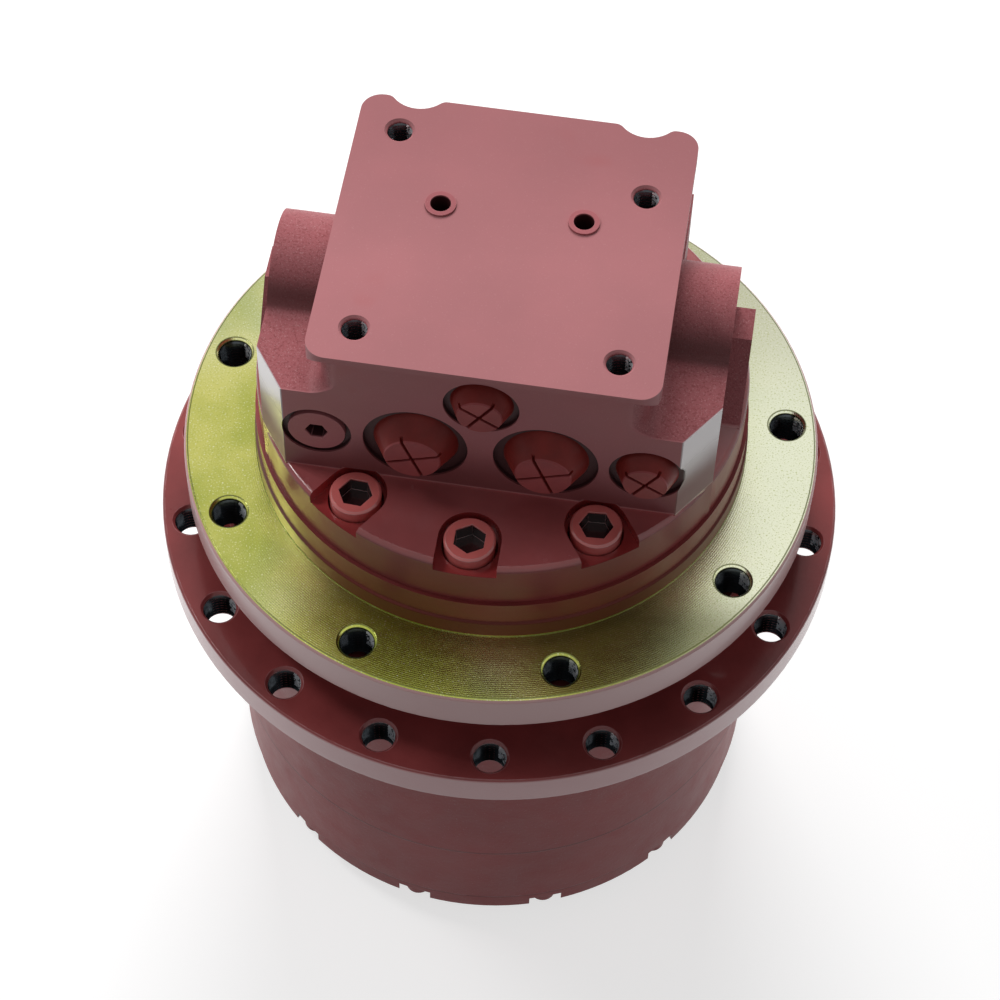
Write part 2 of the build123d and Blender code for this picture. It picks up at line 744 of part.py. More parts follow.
# Counterbalance spool, its end plugs and its springs
land = 14.0
waist = 8.0
with BuildPart() as counterbalance_spool:
    with BuildSketch(Plane.YZ.offset(-SPOOL_HALF)):
        with Locations((0, BOSS_Z)):
            Circle(SPOOL_DIA / 2)
    extrude(amount=2 * SPOOL_HALF)
    for x in (-land - waist, -waist / 2, land):
        with BuildSketch(Plane.YZ.offset(x)):
            with Locations((0, BOSS_Z)):
                Circle(SPOOL_DIA / 2)
                Circle(SPOOL_DIA / 2 - 4.0, mode=Mode.SUBTRACT)
        extrude(amount=waist, mode=Mode.SUBTRACT)
save(counterbalance_spool.part, "counterbalance_spool")

with BuildPart() as spool_plugs:
    for side in (-1, 1):
        with BuildSketch(Plane.YZ.offset(side * SIDE_X)):
            with Locations((0, BOSS_Z)):
                Circle(SPOOL_PLUG_DIA / 2 - SEAT)
        extrude(amount=-side * SPOOL_PLUG_LEN)
        with BuildSketch(Plane.YZ.offset(side * SIDE_X)):
            with Locations((0, BOSS_Z)):
                RegularPolygon(7.0, 6, major_radius=False)
        extrude(amount=-side * 8.0, mode=Mode.SUBTRACT)
save(spool_plugs.part, "spool_plugs")

with BuildPart() as spool_springs:
    for side in (-1, 1):
        with BuildSketch(Plane.YZ.offset(side * (SIDE_X - SPOOL_PLUG_LEN))):
            with Locations((0, BOSS_Z)):
                Circle(SPOOL_DIA / 2 - GAP)
                Circle(SPOOL_DIA / 2 - GAP - SPRING_WALL, mode=Mode.SUBTRACT)
        extrude(
            amount=-side * (SIDE_X - SPOOL_PLUG_LEN - SPOOL_HALF - SPOOL_TRAVEL - 1.0)
        )
save(spool_springs.part, "spool_springs")

# Valve plate with its two kidney ports
with BuildPart() as valve_plate:
    with BuildSketch(Plane.XY.offset(VALVE_FACE)):
        Circle(BLOCK_DIA / 2)
        Circle(SHAFT_DIA / 2 + 2, mode=Mode.SUBTRACT)
        for middle in (0, 180):
            with BuildLine(mode=Mode.PRIVATE):
                kidney = CenterArc((0, 0), PISTON_PCD / 2, middle - 60, 120)
            SlotArc(kidney, 7.0, mode=Mode.SUBTRACT)
    extrude(amount=VALVE_PLATE_T)
save(valve_plate.part, "valve_plate")

# Cylinder block with nine bores
with BuildPart() as cylinder_block:
    with BuildSketch(Plane.XY.offset(BLOCK_END)):
        Circle(BLOCK_DIA / 2)
        Circle(SHAFT_DIA / 2 + SEAT, mode=Mode.SUBTRACT)
    extrude(amount=BLOCK_LEN)
    with BuildSketch(Plane.XY.offset(BLOCK_END)):
        with PolarLocations(PISTON_PCD / 2, PISTONS):
            Circle(PISTON_DIA / 2 + RUN)
    extrude(amount=CYLINDER_DEPTH, mode=Mode.SUBTRACT)
save(cylinder_block.part, "cylinder_block")

with BuildPart() as pistons:
    with BuildSketch(Plane.XY.offset(PISTON_END)):
        with PolarLocations(PISTON_PCD / 2, PISTONS):
            Circle(PISTON_DIA / 2)
    extrude(amount=PISTON_LEN)
    with BuildSketch(Plane.XY.offset(CUP_TOP)):
        with PolarLocations(PISTON_PCD / 2, PISTONS):
            Circle(NECK_DIA / 2)
    extrude(amount=NECK_LEN)
save(pistons.part, "pistons")

with BuildPart() as piston_shoes:
    with BuildSketch(Plane.XY.offset(SWASH_TOP)):
        with PolarLocations(PISTON_PCD / 2, PISTONS):
            Circle(SHOE_DIA / 2)
    extrude(amount=SHOE_T)
    with BuildSketch(Plane.XY.offset(SHOE_TOP)):
        with PolarLocations(PISTON_PCD / 2, PISTONS):
            Circle(SHOE_CUP_DIA / 2)
    extrude(amount=SHOE_CUP_H)
save(piston_shoes.part, "piston_shoes")

with BuildPart() as retainer_plate:
    with BuildSketch(Plane.XY.offset(SHOE_TOP)):
        Circle(RETAINER_DIA / 2)
        Circle(SHAFT_DIA / 2 + SEAT, mode=Mode.SUBTRACT)
        with PolarLocations(PISTON_PCD / 2, PISTONS):
            Circle(SHOE_CUP_DIA / 2 + GAP, mode=Mode.SUBTRACT)
    extrude(amount=RETAINER_T)
save(retainer_plate.part, "retainer_plate")

swash_plate = tube(SWASH_DIA / 2, SHAFT_DIA / 2 + 8, SWASH_TOP, MOTOR_FLOOR)
save(swash_plate, "swash_plate")

motor_shaft = revolved(
    [
        (0, SHAFT_TOP_Z),
        (SHAFT_TOP_DIA / 2, SHAFT_TOP_Z),
        (SHAFT_TOP_DIA / 2, VALVE_FACE),
        (SHAFT_DIA / 2, VALVE_FACE),
        (SHAFT_DIA / 2, SHAFT_END),
        (0, SHAFT_END),
    ]
)
save(motor_shaft, "motor_shaft")

rear_bearing = tube(
    REAR_BEARING_DIA / 2 - SEAT,
    SHAFT_TOP_DIA / 2 + RUN,
    SHAFT_TOP_Z,
    SHAFT_TOP_Z - REAR_BEARING_W,
)
save(rear_bearing, "rear_shaft_bearing")

# Front shaft bearing: outer ring in the spindle, rollers and inner ring on the shaft
front_roller_r = FRONT_ROLLER_DIA / 2
front_mid_r = (FRONT_BEARING_DIA + SHAFT_DIA) / 4
front_outer = tube(
    FRONT_BEARING_DIA / 2 - SEAT,
    front_mid_r + front_roller_r + ROLLER_PLAY,
    MOTOR_FLOOR,
    FRONT_BEARING_END,
)
save(front_outer, "front_shaft_bearing_ring")
with BuildPart() as front_inner:
    with BuildSketch(Plane.XY.offset(FRONT_BEARING_END + 1)):
        Circle(front_mid_r - front_roller_r)
        Circle(SHAFT_DIA / 2 + SEAT, mode=Mode.SUBTRACT)
    extrude(amount=FRONT_BEARING_W - 2)
    with BuildSketch(Plane.XY.offset(FRONT_BEARING_END + 3)):
        with PolarLocations(front_mid_r, FRONT_ROLLERS):
            Circle(front_roller_r)
    extrude(amount=FRONT_BEARING_W - 6)
save(front_inner.part, "front_shaft_bearing_rollers")

shaft_seal = tube(
    SHAFT_SEAL_DIA / 2 - SEAT, SHAFT_DIA / 2 + RUN, SEAL_TOP, SEAL_TOP - SHAFT_SEAL_W
)
save(shaft_seal, "shaft_seal")

# Parking brake: friction discs on the block, plates in the spindle, piston and spring
with BuildPart() as friction_discs:
    for disc in range(FRICTION_DISCS):
        with BuildSketch(Plane.XY.offset(BRAKE_FLOOR + DISC_T * (2 * disc + 1))):
            Circle(DISC_OUT / 2)
            Circle(BLOCK_DIA / 2 + SEAT, mode=Mode.SUBTRACT)
        extrude(amount=DISC_T)
save(friction_discs.part, "friction_discs")

with BuildPart() as brake_plates:
    for plate in range(FRICTION_DISCS + 1):
        with BuildSketch(Plane.XY.offset(BRAKE_FLOOR + DISC_T * 2 * plate)):
            Circle(BRAKE_BORE / 2 - SEAT)
            Circle(PLATE_IN / 2, mode=Mode.SUBTRACT)
        extrude(amount=DISC_T)
save(brake_plates.part, "brake_plates")

brake_piston = tube(
    BRAKE_BORE / 2 - RUN, PLATE_IN / 2, BRAKE_PISTON_TOP, BRAKE_PISTON_END
)
save(brake_piston, "brake_piston")

spring_in = PLATE_IN / 2 + 2
spring_out = BRAKE_BORE / 2 - 2
brake_spring = revolved(
    [
        (spring_in, SPIGOT_H - BRAKE_SPRING_T),
        (spring_in, SPIGOT_H),
        (spring_in + 1, SPIGOT_H),
        (spring_out, BRAKE_PISTON_TOP + BRAKE_SPRING_T),
        (spring_out, BRAKE_PISTON_TOP),
        (spring_out - 1, BRAKE_PISTON_TOP),
    ]
)
save(brake_spring, "brake_spring")

# Face seal: two metal rings on rubber rings, one pair in the spindle and one in the drum
seal_mid_r = (SEAL_BORE + SEAL_RING_OUT) / 4
seal_half = (SEAL_BORE - SEAL_RING_OUT) / 4 - SEAT
save(
    tube(SEAL_RING_OUT / 2, SEAL_RING_IN / 2, SEAL_FACE_Z + SEAL_RING_T, SEAL_FACE_Z),
    "fixed_seal_ring",
)
save(
    seal_rubber(seal_mid_r, seal_half, seal_pocket_top - seal_half),
    "fixed_seal_rubber",
)
save(
    tube(SEAL_RING_OUT / 2, SEAL_RING_IN / 2, SEAL_FACE_Z, SEAL_FACE_Z - SEAL_RING_T),
    "turning_seal_ring",
)
save(
    seal_rubber(seal_mid_r, seal_half, BEARING_TOP + 2 + seal_half),
    "turning_seal_rubber",
)

# Main bearings: taper rollers between coned rings, the two bearings facing each other
race_mid_r = (BEARING_ID + BEARING_OD) / 4
tilt = radians(ROLLER_TILT)
race_play = ROLLER_DIA / 2 / cos(tilt) + ROLLER_PLAY


def race_radius(height, centre_z, lean, side):
    """Radius of the inner (side -1) or outer (side 1) race at a height."""
    return race_mid_r + lean * (height - centre_z) * tan(tilt) + side * race_play


def bearing(top, lean, name):
    """Inner ring, outer ring and caged rollers of one main bearing."""
    end = top - BEARING_W
    centre_z = (top + end) / 2
    inner = revolved(
        [
            (BEARING_ID / 2, end),
            (race_radius(end, centre_z, lean, -1), end),
            (race_radius(top, centre_z, lean, -1), top),
            (BEARING_ID / 2, top),
        ]
    )
    save(inner, "bearing_inner_" + name)
    outer = revolved(
        [
            (BEARING_OD / 2 - SEAT, end),
            (BEARING_OD / 2 - SEAT, top),
            (race_radius(top, centre_z, lean, 1), top),
            (race_radius(end, centre_z, lean, 1), end),
        ]
    )
    save(outer, "bearing_outer_" + name)
    leaning = Plane(
        origin=(race_mid_r, 0, centre_z),
        x_dir=(cos(tilt), 0, -lean * sin(tilt)),
        z_dir=(lean * sin(tilt), 0, cos(tilt)),
    )
    with BuildPart(leaning, mode=Mode.PRIVATE) as roller:
        Cylinder(ROLLER_DIA / 2, ROLLER_LEN)
    cage_z = ROLLER_LEN / 2 * cos(tilt) - 1.0
    with BuildPart() as rollers:
        with PolarLocations(0, ROLLER_COUNT):
            add(roller.part)
        for end_side in (-1, 1):
            cage_mid = race_mid_r + lean * end_side * cage_z * tan(tilt)
            with BuildSketch(Plane.XY.offset(centre_z + end_side * cage_z - 1.0)):
                Circle(cage_mid + 1.6)
                Circle(cage_mid - 1.6, mode=Mode.SUBTRACT)
            extrude(amount=2.0)
    save(rollers.part, "bearing_rollers_" + name)


bearing(BEARING_TOP, 1, "upper")
bearing(LOWER_BEARING_TOP, -1, "lower")

# Slotted nut that holds the inner rings
with BuildPart() as spindle_nut:
    with BuildSketch(Plane.XY.offset(BEARING_END - NUT_H)):
        Circle(NUT_DIA / 2)
        Circle(THREAD_DIA / 2 + SEAT, mode=Mode.SUBTRACT)
        with PolarLocations(NUT_DIA / 2, 6):
            Rectangle(8, 10, mode=Mode.SUBTRACT)
    extrude(amount=NUT_H)
save(spindle_nut.part, "spindle_nut")

# Drum: labyrinth lip, sprocket flange, pilot and barrel in one casting
drum_step = 1.5
with BuildPart() as drum:
    with BuildSketch(Plane.XZ):
        with BuildLine():
            Polyline(
                (LIP_DIA / 2 - LIP_WALL, LIP_TOP),
                (LIP_DIA / 2, LIP_TOP),
                (LIP_DIA / 2, SPROCKET_TOP),
                (SPROCKET_DIA / 2 - 1, SPROCKET_TOP),
                (SPROCKET_DIA / 2, SPROCKET_TOP - 1),
                (SPROCKET_DIA / 2, SPROCKET_END + 1),
                (SPROCKET_DIA / 2 - 1, SPROCKET_END),
                (PILOT_DIA / 2, SPROCKET_END),
                (PILOT_DIA / 2, SPROCKET_END - PILOT_H),
                (DRUM_DIA / 2, SPROCKET_END - PILOT_H - 2),
                (DRUM_DIA / 2, DRUM_STEP_Z),
                (DRUM_LOW_DIA / 2, DRUM_STEP_Z - drum_step),
                (DRUM_LOW_DIA / 2, DRUM_END + 2),
                (DRUM_LOW_DIA / 2 - 2, DRUM_END),
                (RING_OD / 2, DRUM_END),
                (RING_OD / 2, RING_TOP),
                (BEARING_OD / 2, RING_TOP),
                (BEARING_OD / 2, LOWER_BEARING_TOP),
                (BEARING_OD / 2 - 4, LOWER_BEARING_TOP),
                (BEARING_OD / 2 - 4, BEARING_TOP - BEARING_W),
                (BEARING_OD / 2, BEARING_TOP - BEARING_W),
                (BEARING_OD / 2, BEARING_TOP + 2),
                (seal_bore_r, BEARING_TOP + 2),
                (seal_bore_r, SEAL_FACE_Z - 1),
                (LIP_DIA / 2 - LIP_WALL, SEAL_FACE_Z - 1),
                close=True,
            )
        make_face()
    revolve(axis=Axis.Z)
    with Locations(Plane.XY.offset(SPROCKET_TOP)):
        with PolarLocations(
            SPROCKET_PCD / 2, SPROCKET_HOLES, start_angle=SPROCKET_PHASE
        ):
            CounterSinkHole(
                TAP_M16 / 2,
                TAP_M16 / 2 + TAP_MOUTH,
                depth=SPROCKET_T,
                counter_sink_angle=90,
            )
    with BuildSketch(Plane.XY.offset(DRUM_END)):
        with PolarLocations(END_SCREW_PCD / 2, END_SCREWS, start_angle=END_SCREW_PHASE):
            Circle(M8 / 2 + SEAT)
    extrude(amount=END_GRIP + 4.0, mode=Mode.SUBTRACT)
save(drum.part, "drum")

# Ring gear with internal involute teeth, shared by both stages
ring_pitch = MODULE * RING_TEETH / 2
ring_root = ring_pitch + MODULE * DEDENDUM
with BuildPart() as ring_gear:
    with BuildSketch(Plane.XY.offset(DRUM_END)):
        Circle(RING_OD / 2 - SEAT)
        with BuildLine():
            Polyline(
                *tooth_outline(RING_TEETH, RING_TOOTH_TIP, ring_root, 0, -1), close=True
            )
        make_face(mode=Mode.SUBTRACT)
    extrude(amount=RING_TOP - DRUM_END)
save(ring_gear.part, "ring_gear")


def planet(teeth, bore, place, centre, top, end, name):
    """One planet gear on its bush, turned so that its teeth mesh."""
    with BuildPart() as gear:
        with BuildSketch(Plane.XY.offset(end)):
            add(gear_sketch(teeth, planet_phase(place, teeth)))
            Circle(bore, mode=Mode.SUBTRACT)
        extrude(amount=top - end)
    turn = radians(place)
    gear.part.position = (centre * cos(turn), centre * sin(turn), 0)
    save(gear.part, name)


planet2_places = [360 * k / PLANETS2 for k in range(PLANETS2)]
planet1_places = [90 + 360 * k / PLANETS1 for k in range(PLANETS1)]
bush2_r = PIN2_DIA / 2 + BUSH2_WALL
bush1_r = PIN1_DIA / 2 + BUSH1_WALL
for number, place in enumerate(planet2_places, 1):
    planet(
        PLANET2_TEETH,
        bush2_r + RUN,
        place,
        CENTRE2,
        PLANET2_TOP,
        PLANET2_END,
        f"second_planet_{number}",
    )
for number, place in enumerate(planet1_places, 1):
    planet(
        PLANET1_TEETH,
        bush1_r + RUN,
        place,
        CENTRE1,
        PLANET1_TOP,
        PLANET1_END,
        f"first_planet_{number}",
    )


def flanged_bushes(pin_dia, bush_r, flange_r, top, end, centre, count, first):
    """Pairs of flanged bushes on the planet pins, meeting in the middle of each planet."""
    middle = (top + end) / 2
    with BuildPart() as bushes:
        with PolarLocations(centre, count, start_angle=first):
            for flange_z, sleeve_z in ((top, middle), (end - FLANGE_T, end)):
                with Locations((0, 0, flange_z)):
                    Cylinder(
                        flange_r,
                        FLANGE_T,
                        align=(Align.CENTER, Align.CENTER, Align.MIN),
                    )
                with Locations((0, 0, sleeve_z)):
                    Cylinder(
                        bush_r,
                        (top - end) / 2,
                        align=(Align.CENTER, Align.CENTER, Align.MIN),
                    )
            with Locations((0, 0, end - FLANGE_T)):
                Cylinder(
                    pin_dia / 2 + SEAT,
                    top - end + 2 * FLANGE_T,
                    align=(Align.CENTER, Align.CENTER, Align.MIN),
                    mode=Mode.SUBTRACT,
                )
    return bushes.part


save(
    flanged_bushes(
        PIN2_DIA,
        bush2_r,
        bush2_r + 5,
        PLANET2_TOP,
        PLANET2_END,
        CENTRE2,
        PLANETS2,
        planet2_places[0],
    ),
    "second_planet_bushes",
)
save(
    flanged_bushes(
        PIN1_DIA,
        bush1_r,
        bush1_r + 4,
        PLANET1_TOP,
        PLANET1_END,
        CENTRE1,
        PLANETS1,
        planet1_places[0],
    ),
    "first_planet_bushes",
)

# Second carrier: a one-piece cage, screwed to the spindle's end
sun2_tip = MODULE * (SUN2_TEETH / 2 + ADDENDUM)
screw_seat = 9.0
with BuildPart() as second_carrier:
    with BuildSketch(Plane.XY.offset(CARRIER2_FACE)):
        Circle(CARRIER2_DIA / 2)
        Circle(COUPLING_DIA / 2 + 3, mode=Mode.SUBTRACT)
    extrude(amount=CARRIER2_T)
    with BuildSketch(Plane.XY.offset(CARRIER2_LOW)):
        with PolarLocations(POST_PCD / 2, PLANETS2, start_angle=180 / PLANETS2):
            Circle(POST_DIA / 2)
    extrude(amount=CARRIER2_FACE - CARRIER2_LOW)
    with BuildSketch(Plane.XY.offset(CARRIER2_END)):
        Circle(CARRIER2_DIA / 2)
        Circle(sun2_tip + 2, mode=Mode.SUBTRACT)
    extrude(amount=CARRIER2_LOW_T)
    with BuildSketch(Plane.XY.offset(CARRIER2_END)):
        with PolarLocations(CENTRE2, PLANETS2, start_angle=planet2_places[0]):
            Circle(PIN2_DIA / 2 + SEAT)
    extrude(amount=SPINDLE_END - CARRIER2_END - 3, mode=Mode.SUBTRACT)
    with BuildSketch(Plane.XY.offset(CARRIER2_FACE)):
        with PolarLocations(
            CARRIER_SCREW_PCD / 2, CARRIER_SCREWS, start_angle=180 / CARRIER_SCREWS
        ):
            Circle(M8 / 2 + SEAT)
    extrude(amount=CARRIER2_T, mode=Mode.SUBTRACT)
    with BuildSketch(Plane.XY.offset(CARRIER2_FACE)):
        with PolarLocations(
            CARRIER_SCREW_PCD / 2, CARRIER_SCREWS, start_angle=180 / CARRIER_SCREWS
        ):
            Circle(M8_HEAD_DIA / 2 + 1)
    extrude(amount=screw_seat, mode=Mode.SUBTRACT)
save(second_carrier.part, "second_carrier")

carrier_screw = socket_screw(M8_HEAD_DIA, M8, M8, CARRIER2_T - screw_seat + 12.0, 6.0, -1)
with BuildPart() as carrier_screws:
    with PolarLocations(
        CARRIER_SCREW_PCD / 2, CARRIER_SCREWS, start_angle=180 / CARRIER_SCREWS
    ):
        with Locations((0, 0, CARRIER2_FACE + screw_seat)):
            add(carrier_screw)
save(carrier_screws.part, "carrier_screws")

with BuildPart() as second_planet_pins:
    with BuildSketch(Plane.XY.offset(CARRIER2_END + 0.5)):
        with PolarLocations(CENTRE2, PLANETS2, start_angle=planet2_places[0]):
            Circle(PIN2_DIA / 2)
    extrude(amount=SPINDLE_END - CARRIER2_END - 3.5)
save(second_planet_pins.part, "second_planet_pins")

# Second sun with the hub that carries the first carrier
with BuildPart() as second_sun:
    with BuildSketch(Plane.XY.offset(PLANET2_END)):
        add(gear_sketch(SUN2_TEETH, sun_phase(planet2_places[0], SUN2_TEETH, PLANET2_TEETH)))
        Circle(SUN_BORE / 2, mode=Mode.SUBTRACT)
    extrude(amount=PLANET2_W)
    with BuildSketch(Plane.XY.offset(CARRIER1_END)):
        Circle(SUN2_HUB_DIA / 2)
        Circle(SUN_BORE / 2, mode=Mode.SUBTRACT)
    extrude(amount=PLANET2_END - CARRIER1_END)
save(second_sun.part, "second_sun")

with BuildPart() as first_carrier:
    with BuildSketch(Plane.XY.offset(CARRIER1_END)):
        Circle(CARRIER1_DIA / 2)
        Circle(SUN2_HUB_DIA / 2 + SEAT, mode=Mode.SUBTRACT)
        with PolarLocations(CENTRE1, PLANETS1, start_angle=planet1_places[0]):
            Circle(PIN1_DIA / 2 + SEAT, mode=Mode.SUBTRACT)
        with PolarLocations(CENTRE1, PLANETS1, start_angle=planet1_places[0] + 180 / PLANETS1):
            Circle(PIN1_DIA / 2 + 3, mode=Mode.SUBTRACT)
    extrude(amount=CARRIER1_T)
save(first_carrier.part, "first_carrier")

pin1_end = CLIP_TOP - CLIP_T - 1.0
with BuildPart() as first_planet_pins:
    with BuildSketch(Plane.XY.offset(pin1_end)):
        with PolarLocations(CENTRE1, PLANETS1, start_angle=planet1_places[0]):
            Circle(PIN1_DIA / 2)
    extrude(amount=CARRIER1_TOP - pin1_end)
save(first_planet_pins.part, "first_planet_pins")

with BuildPart() as pin_clips:
    with BuildSketch(Plane.XY.offset(CLIP_TOP - CLIP_T)):
        with PolarLocations(CENTRE1, PLANETS1, start_angle=planet1_places[0]):
            Circle(PIN1_DIA / 2 + 3)
            Circle(PIN1_DIA / 2 + SEAT, mode=Mode.SUBTRACT)
            with Locations((PIN1_DIA / 2 + 2, 0)):
                Rectangle(6, 4, mode=Mode.SUBTRACT)
    extrude(amount=CLIP_T)
save(pin_clips.part, "pin_clips")

# First sun, cut on the long drive shaft
with BuildPart() as first_sun:
    with BuildSketch(Plane.XY.offset(BUTTON_TOP)):
        add(gear_sketch(SUN1_TEETH, sun_phase(planet1_places[0], SUN1_TEETH, PLANET1_TEETH)))
    extrude(amount=PLANET1_TOP - BUTTON_TOP)
    with BuildSketch(Plane.XY.offset(PLANET1_TOP)):
        Circle(DRIVE_DIA / 2)
    extrude(amount=DRIVE_TOP - PLANET1_TOP)
save(first_sun.part, "first_sun")

with BuildPart() as shaft_coupling:
    with BuildSketch(Plane.XY.offset(COUPLING_TOP - COUPLING_LEN)):
        Circle(COUPLING_DIA / 2)
        Circle(SHAFT_DIA / 2 + SEAT, mode=Mode.SUBTRACT)
    extrude(amount=COUPLING_LEN)
save(shaft_coupling.part, "shaft_coupling")

# End cover with its screws, level plugs and thrust button
with BuildPart() as end_cover:
    with BuildSketch(Plane.XZ):
        with BuildLine():
            Polyline(
                (0, DRUM_END),
                (BUTTON_DIA / 2 + 2, DRUM_END),
                (BUTTON_DIA / 2 + 4, DRUM_END - DISH_DEPTH),
                (DISH_DIA / 2 - 4, DRUM_END - DISH_DEPTH),
                (DISH_DIA / 2, DRUM_END),
                (COVER_DIA / 2 - 1, DRUM_END),
                (COVER_DIA / 2, DRUM_END - 1),
                (COVER_DIA / 2, COVER_END + 1.5),
                (COVER_DIA / 2 - 1.5, COVER_END),
                (DOME_DIA / 2, COVER_END),
                (DOME_DIA / 2 - 5, DOME_END),
                (0, DOME_END),
                close=True,
            )
        make_face()
    revolve(axis=Axis.Z)
    with BuildSketch(Plane.XY.offset(COVER_END)):
        with PolarLocations(END_SCREW_PCD / 2, END_SCREWS, start_angle=END_SCREW_PHASE):
            Circle(END_POCKET_DIA / 2)
    extrude(amount=END_POCKET_DEPTH, mode=Mode.SUBTRACT)
    with BuildSketch(Plane.XY.offset(COVER_END)):
        with PolarLocations(END_SCREW_PCD / 2, END_SCREWS, start_angle=END_SCREW_PHASE):
            Circle(M8 / 2 + SEAT)
    extrude(amount=COVER_RIM, mode=Mode.SUBTRACT)
    with BuildSketch(Plane.XY.offset(DOME_END)):
        with PolarLocations(LEVEL_PLUG_PCD / 2, LEVEL_PLUGS, start_angle=-90):
            Circle(LEVEL_PLUG_DIA / 2)
    extrude(amount=DOME_H + COVER_RIM - DISH_DEPTH, mode=Mode.SUBTRACT)
save(end_cover.part, "end_cover")

end_screw = socket_screw(
    M8_HEAD_DIA, END_HEAD_H, M8, COVER_RIM - END_POCKET_DEPTH + END_GRIP, 5.0, -1
)
with BuildPart() as end_cover_screws:
    with PolarLocations(END_SCREW_PCD / 2, END_SCREWS, start_angle=END_SCREW_PHASE):
        with Locations((0, 0, COVER_END + END_POCKET_DEPTH)):
            add(end_screw)
save(end_cover_screws.part, "end_cover_screws")

with BuildPart() as level_plugs:
    with BuildSketch(Plane.XY.offset(DOME_END + 0.5)):
        with PolarLocations(LEVEL_PLUG_PCD / 2, LEVEL_PLUGS, start_angle=-90):
            Circle(LEVEL_PLUG_DIA / 2 - SEAT)
    extrude(amount=DOME_H + COVER_RIM - DISH_DEPTH - 1.0)
    with BuildSketch(Plane.XY.offset(DOME_END + 0.5)):
        with PolarLocations(LEVEL_PLUG_PCD / 2, LEVEL_PLUGS, start_angle=-90):
            RegularPolygon(5.0, 6, major_radius=False)
    extrude(amount=6.0, mode=Mode.SUBTRACT)
save(level_plugs.part, "level_plugs")

with BuildPart() as thrust_button:
    with BuildSketch(Plane.XY.offset(DRUM_END)):
        Circle(BUTTON_DIA / 2)
    extrude(amount=BUTTON_H)
save(thrust_button.part, "thrust_button")
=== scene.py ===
"""Dresses an excavator final drive: worn paint with painted light and shade, yellow zinc, cut
threads, studio and camera.
"""

import json
import logging
import math
from collections.abc import Callable
from dataclasses import dataclass, replace
from enum import Enum
from functools import cache

import bmesh
import bpy
from mathutils import Matrix, Vector


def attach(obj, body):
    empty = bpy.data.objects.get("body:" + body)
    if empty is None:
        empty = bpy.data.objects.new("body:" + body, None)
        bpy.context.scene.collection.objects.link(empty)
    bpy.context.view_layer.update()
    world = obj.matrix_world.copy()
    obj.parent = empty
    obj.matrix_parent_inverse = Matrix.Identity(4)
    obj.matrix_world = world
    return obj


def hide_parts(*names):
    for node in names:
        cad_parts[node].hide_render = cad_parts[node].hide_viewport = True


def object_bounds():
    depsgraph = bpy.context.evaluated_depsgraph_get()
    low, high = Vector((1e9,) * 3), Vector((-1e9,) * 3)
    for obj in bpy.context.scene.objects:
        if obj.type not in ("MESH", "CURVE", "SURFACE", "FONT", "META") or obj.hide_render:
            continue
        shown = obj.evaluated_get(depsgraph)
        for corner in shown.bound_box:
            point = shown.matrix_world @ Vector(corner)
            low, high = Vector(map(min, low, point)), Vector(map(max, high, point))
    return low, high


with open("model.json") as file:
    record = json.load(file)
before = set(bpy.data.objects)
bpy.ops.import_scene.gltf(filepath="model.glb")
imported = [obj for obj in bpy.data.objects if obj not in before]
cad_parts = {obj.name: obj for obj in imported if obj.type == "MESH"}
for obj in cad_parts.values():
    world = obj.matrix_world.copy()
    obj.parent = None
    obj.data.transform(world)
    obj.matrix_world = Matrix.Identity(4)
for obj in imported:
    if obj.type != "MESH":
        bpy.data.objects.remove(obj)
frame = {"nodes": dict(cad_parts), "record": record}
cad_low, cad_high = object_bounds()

log = logging.getLogger("final_drive")

MM = 0.001
EDGE_MARK = "eased_edge"
SMOOTH_DEG = 32.0
WHITE = (1.0, 1.0, 1.0)
Z_AXIS = (0.0, 0.0, 1.0)
Colour = tuple[float, float, float]
Span = tuple[float, float]
BMesh = bmesh.types.BMesh
Material = bpy.types.Material
Socket = bpy.types.NodeSocket
Value = Socket | float
Tint = Socket | Colour

# Places on the rear cover, in millimetres
FRONT_Y = -63.5
LEDGE_Z = 45.5
PORT_Z = 70.0
TOP_Z = 125.0
SLEEVE_X = 28.5
SLEEVE_Y = 13.7


class Axis(Enum):
    """A direction that a mask is measured along."""

    X = 0
    Y = 1
    Z = 2


class Grain(Enum):
    """How coarse a surface's small relief is, in ripples per metre."""

    ORANGE_PEEL = 420.0
    CAST_SKIN = 2100.0
    FINE_METAL = 2600.0
    TOOL_MARKS = 700.0
    TORN_THREAD = 1500.0
    MOULD_SKIN = 520.0
    RUBBER_SKIN = 900.0


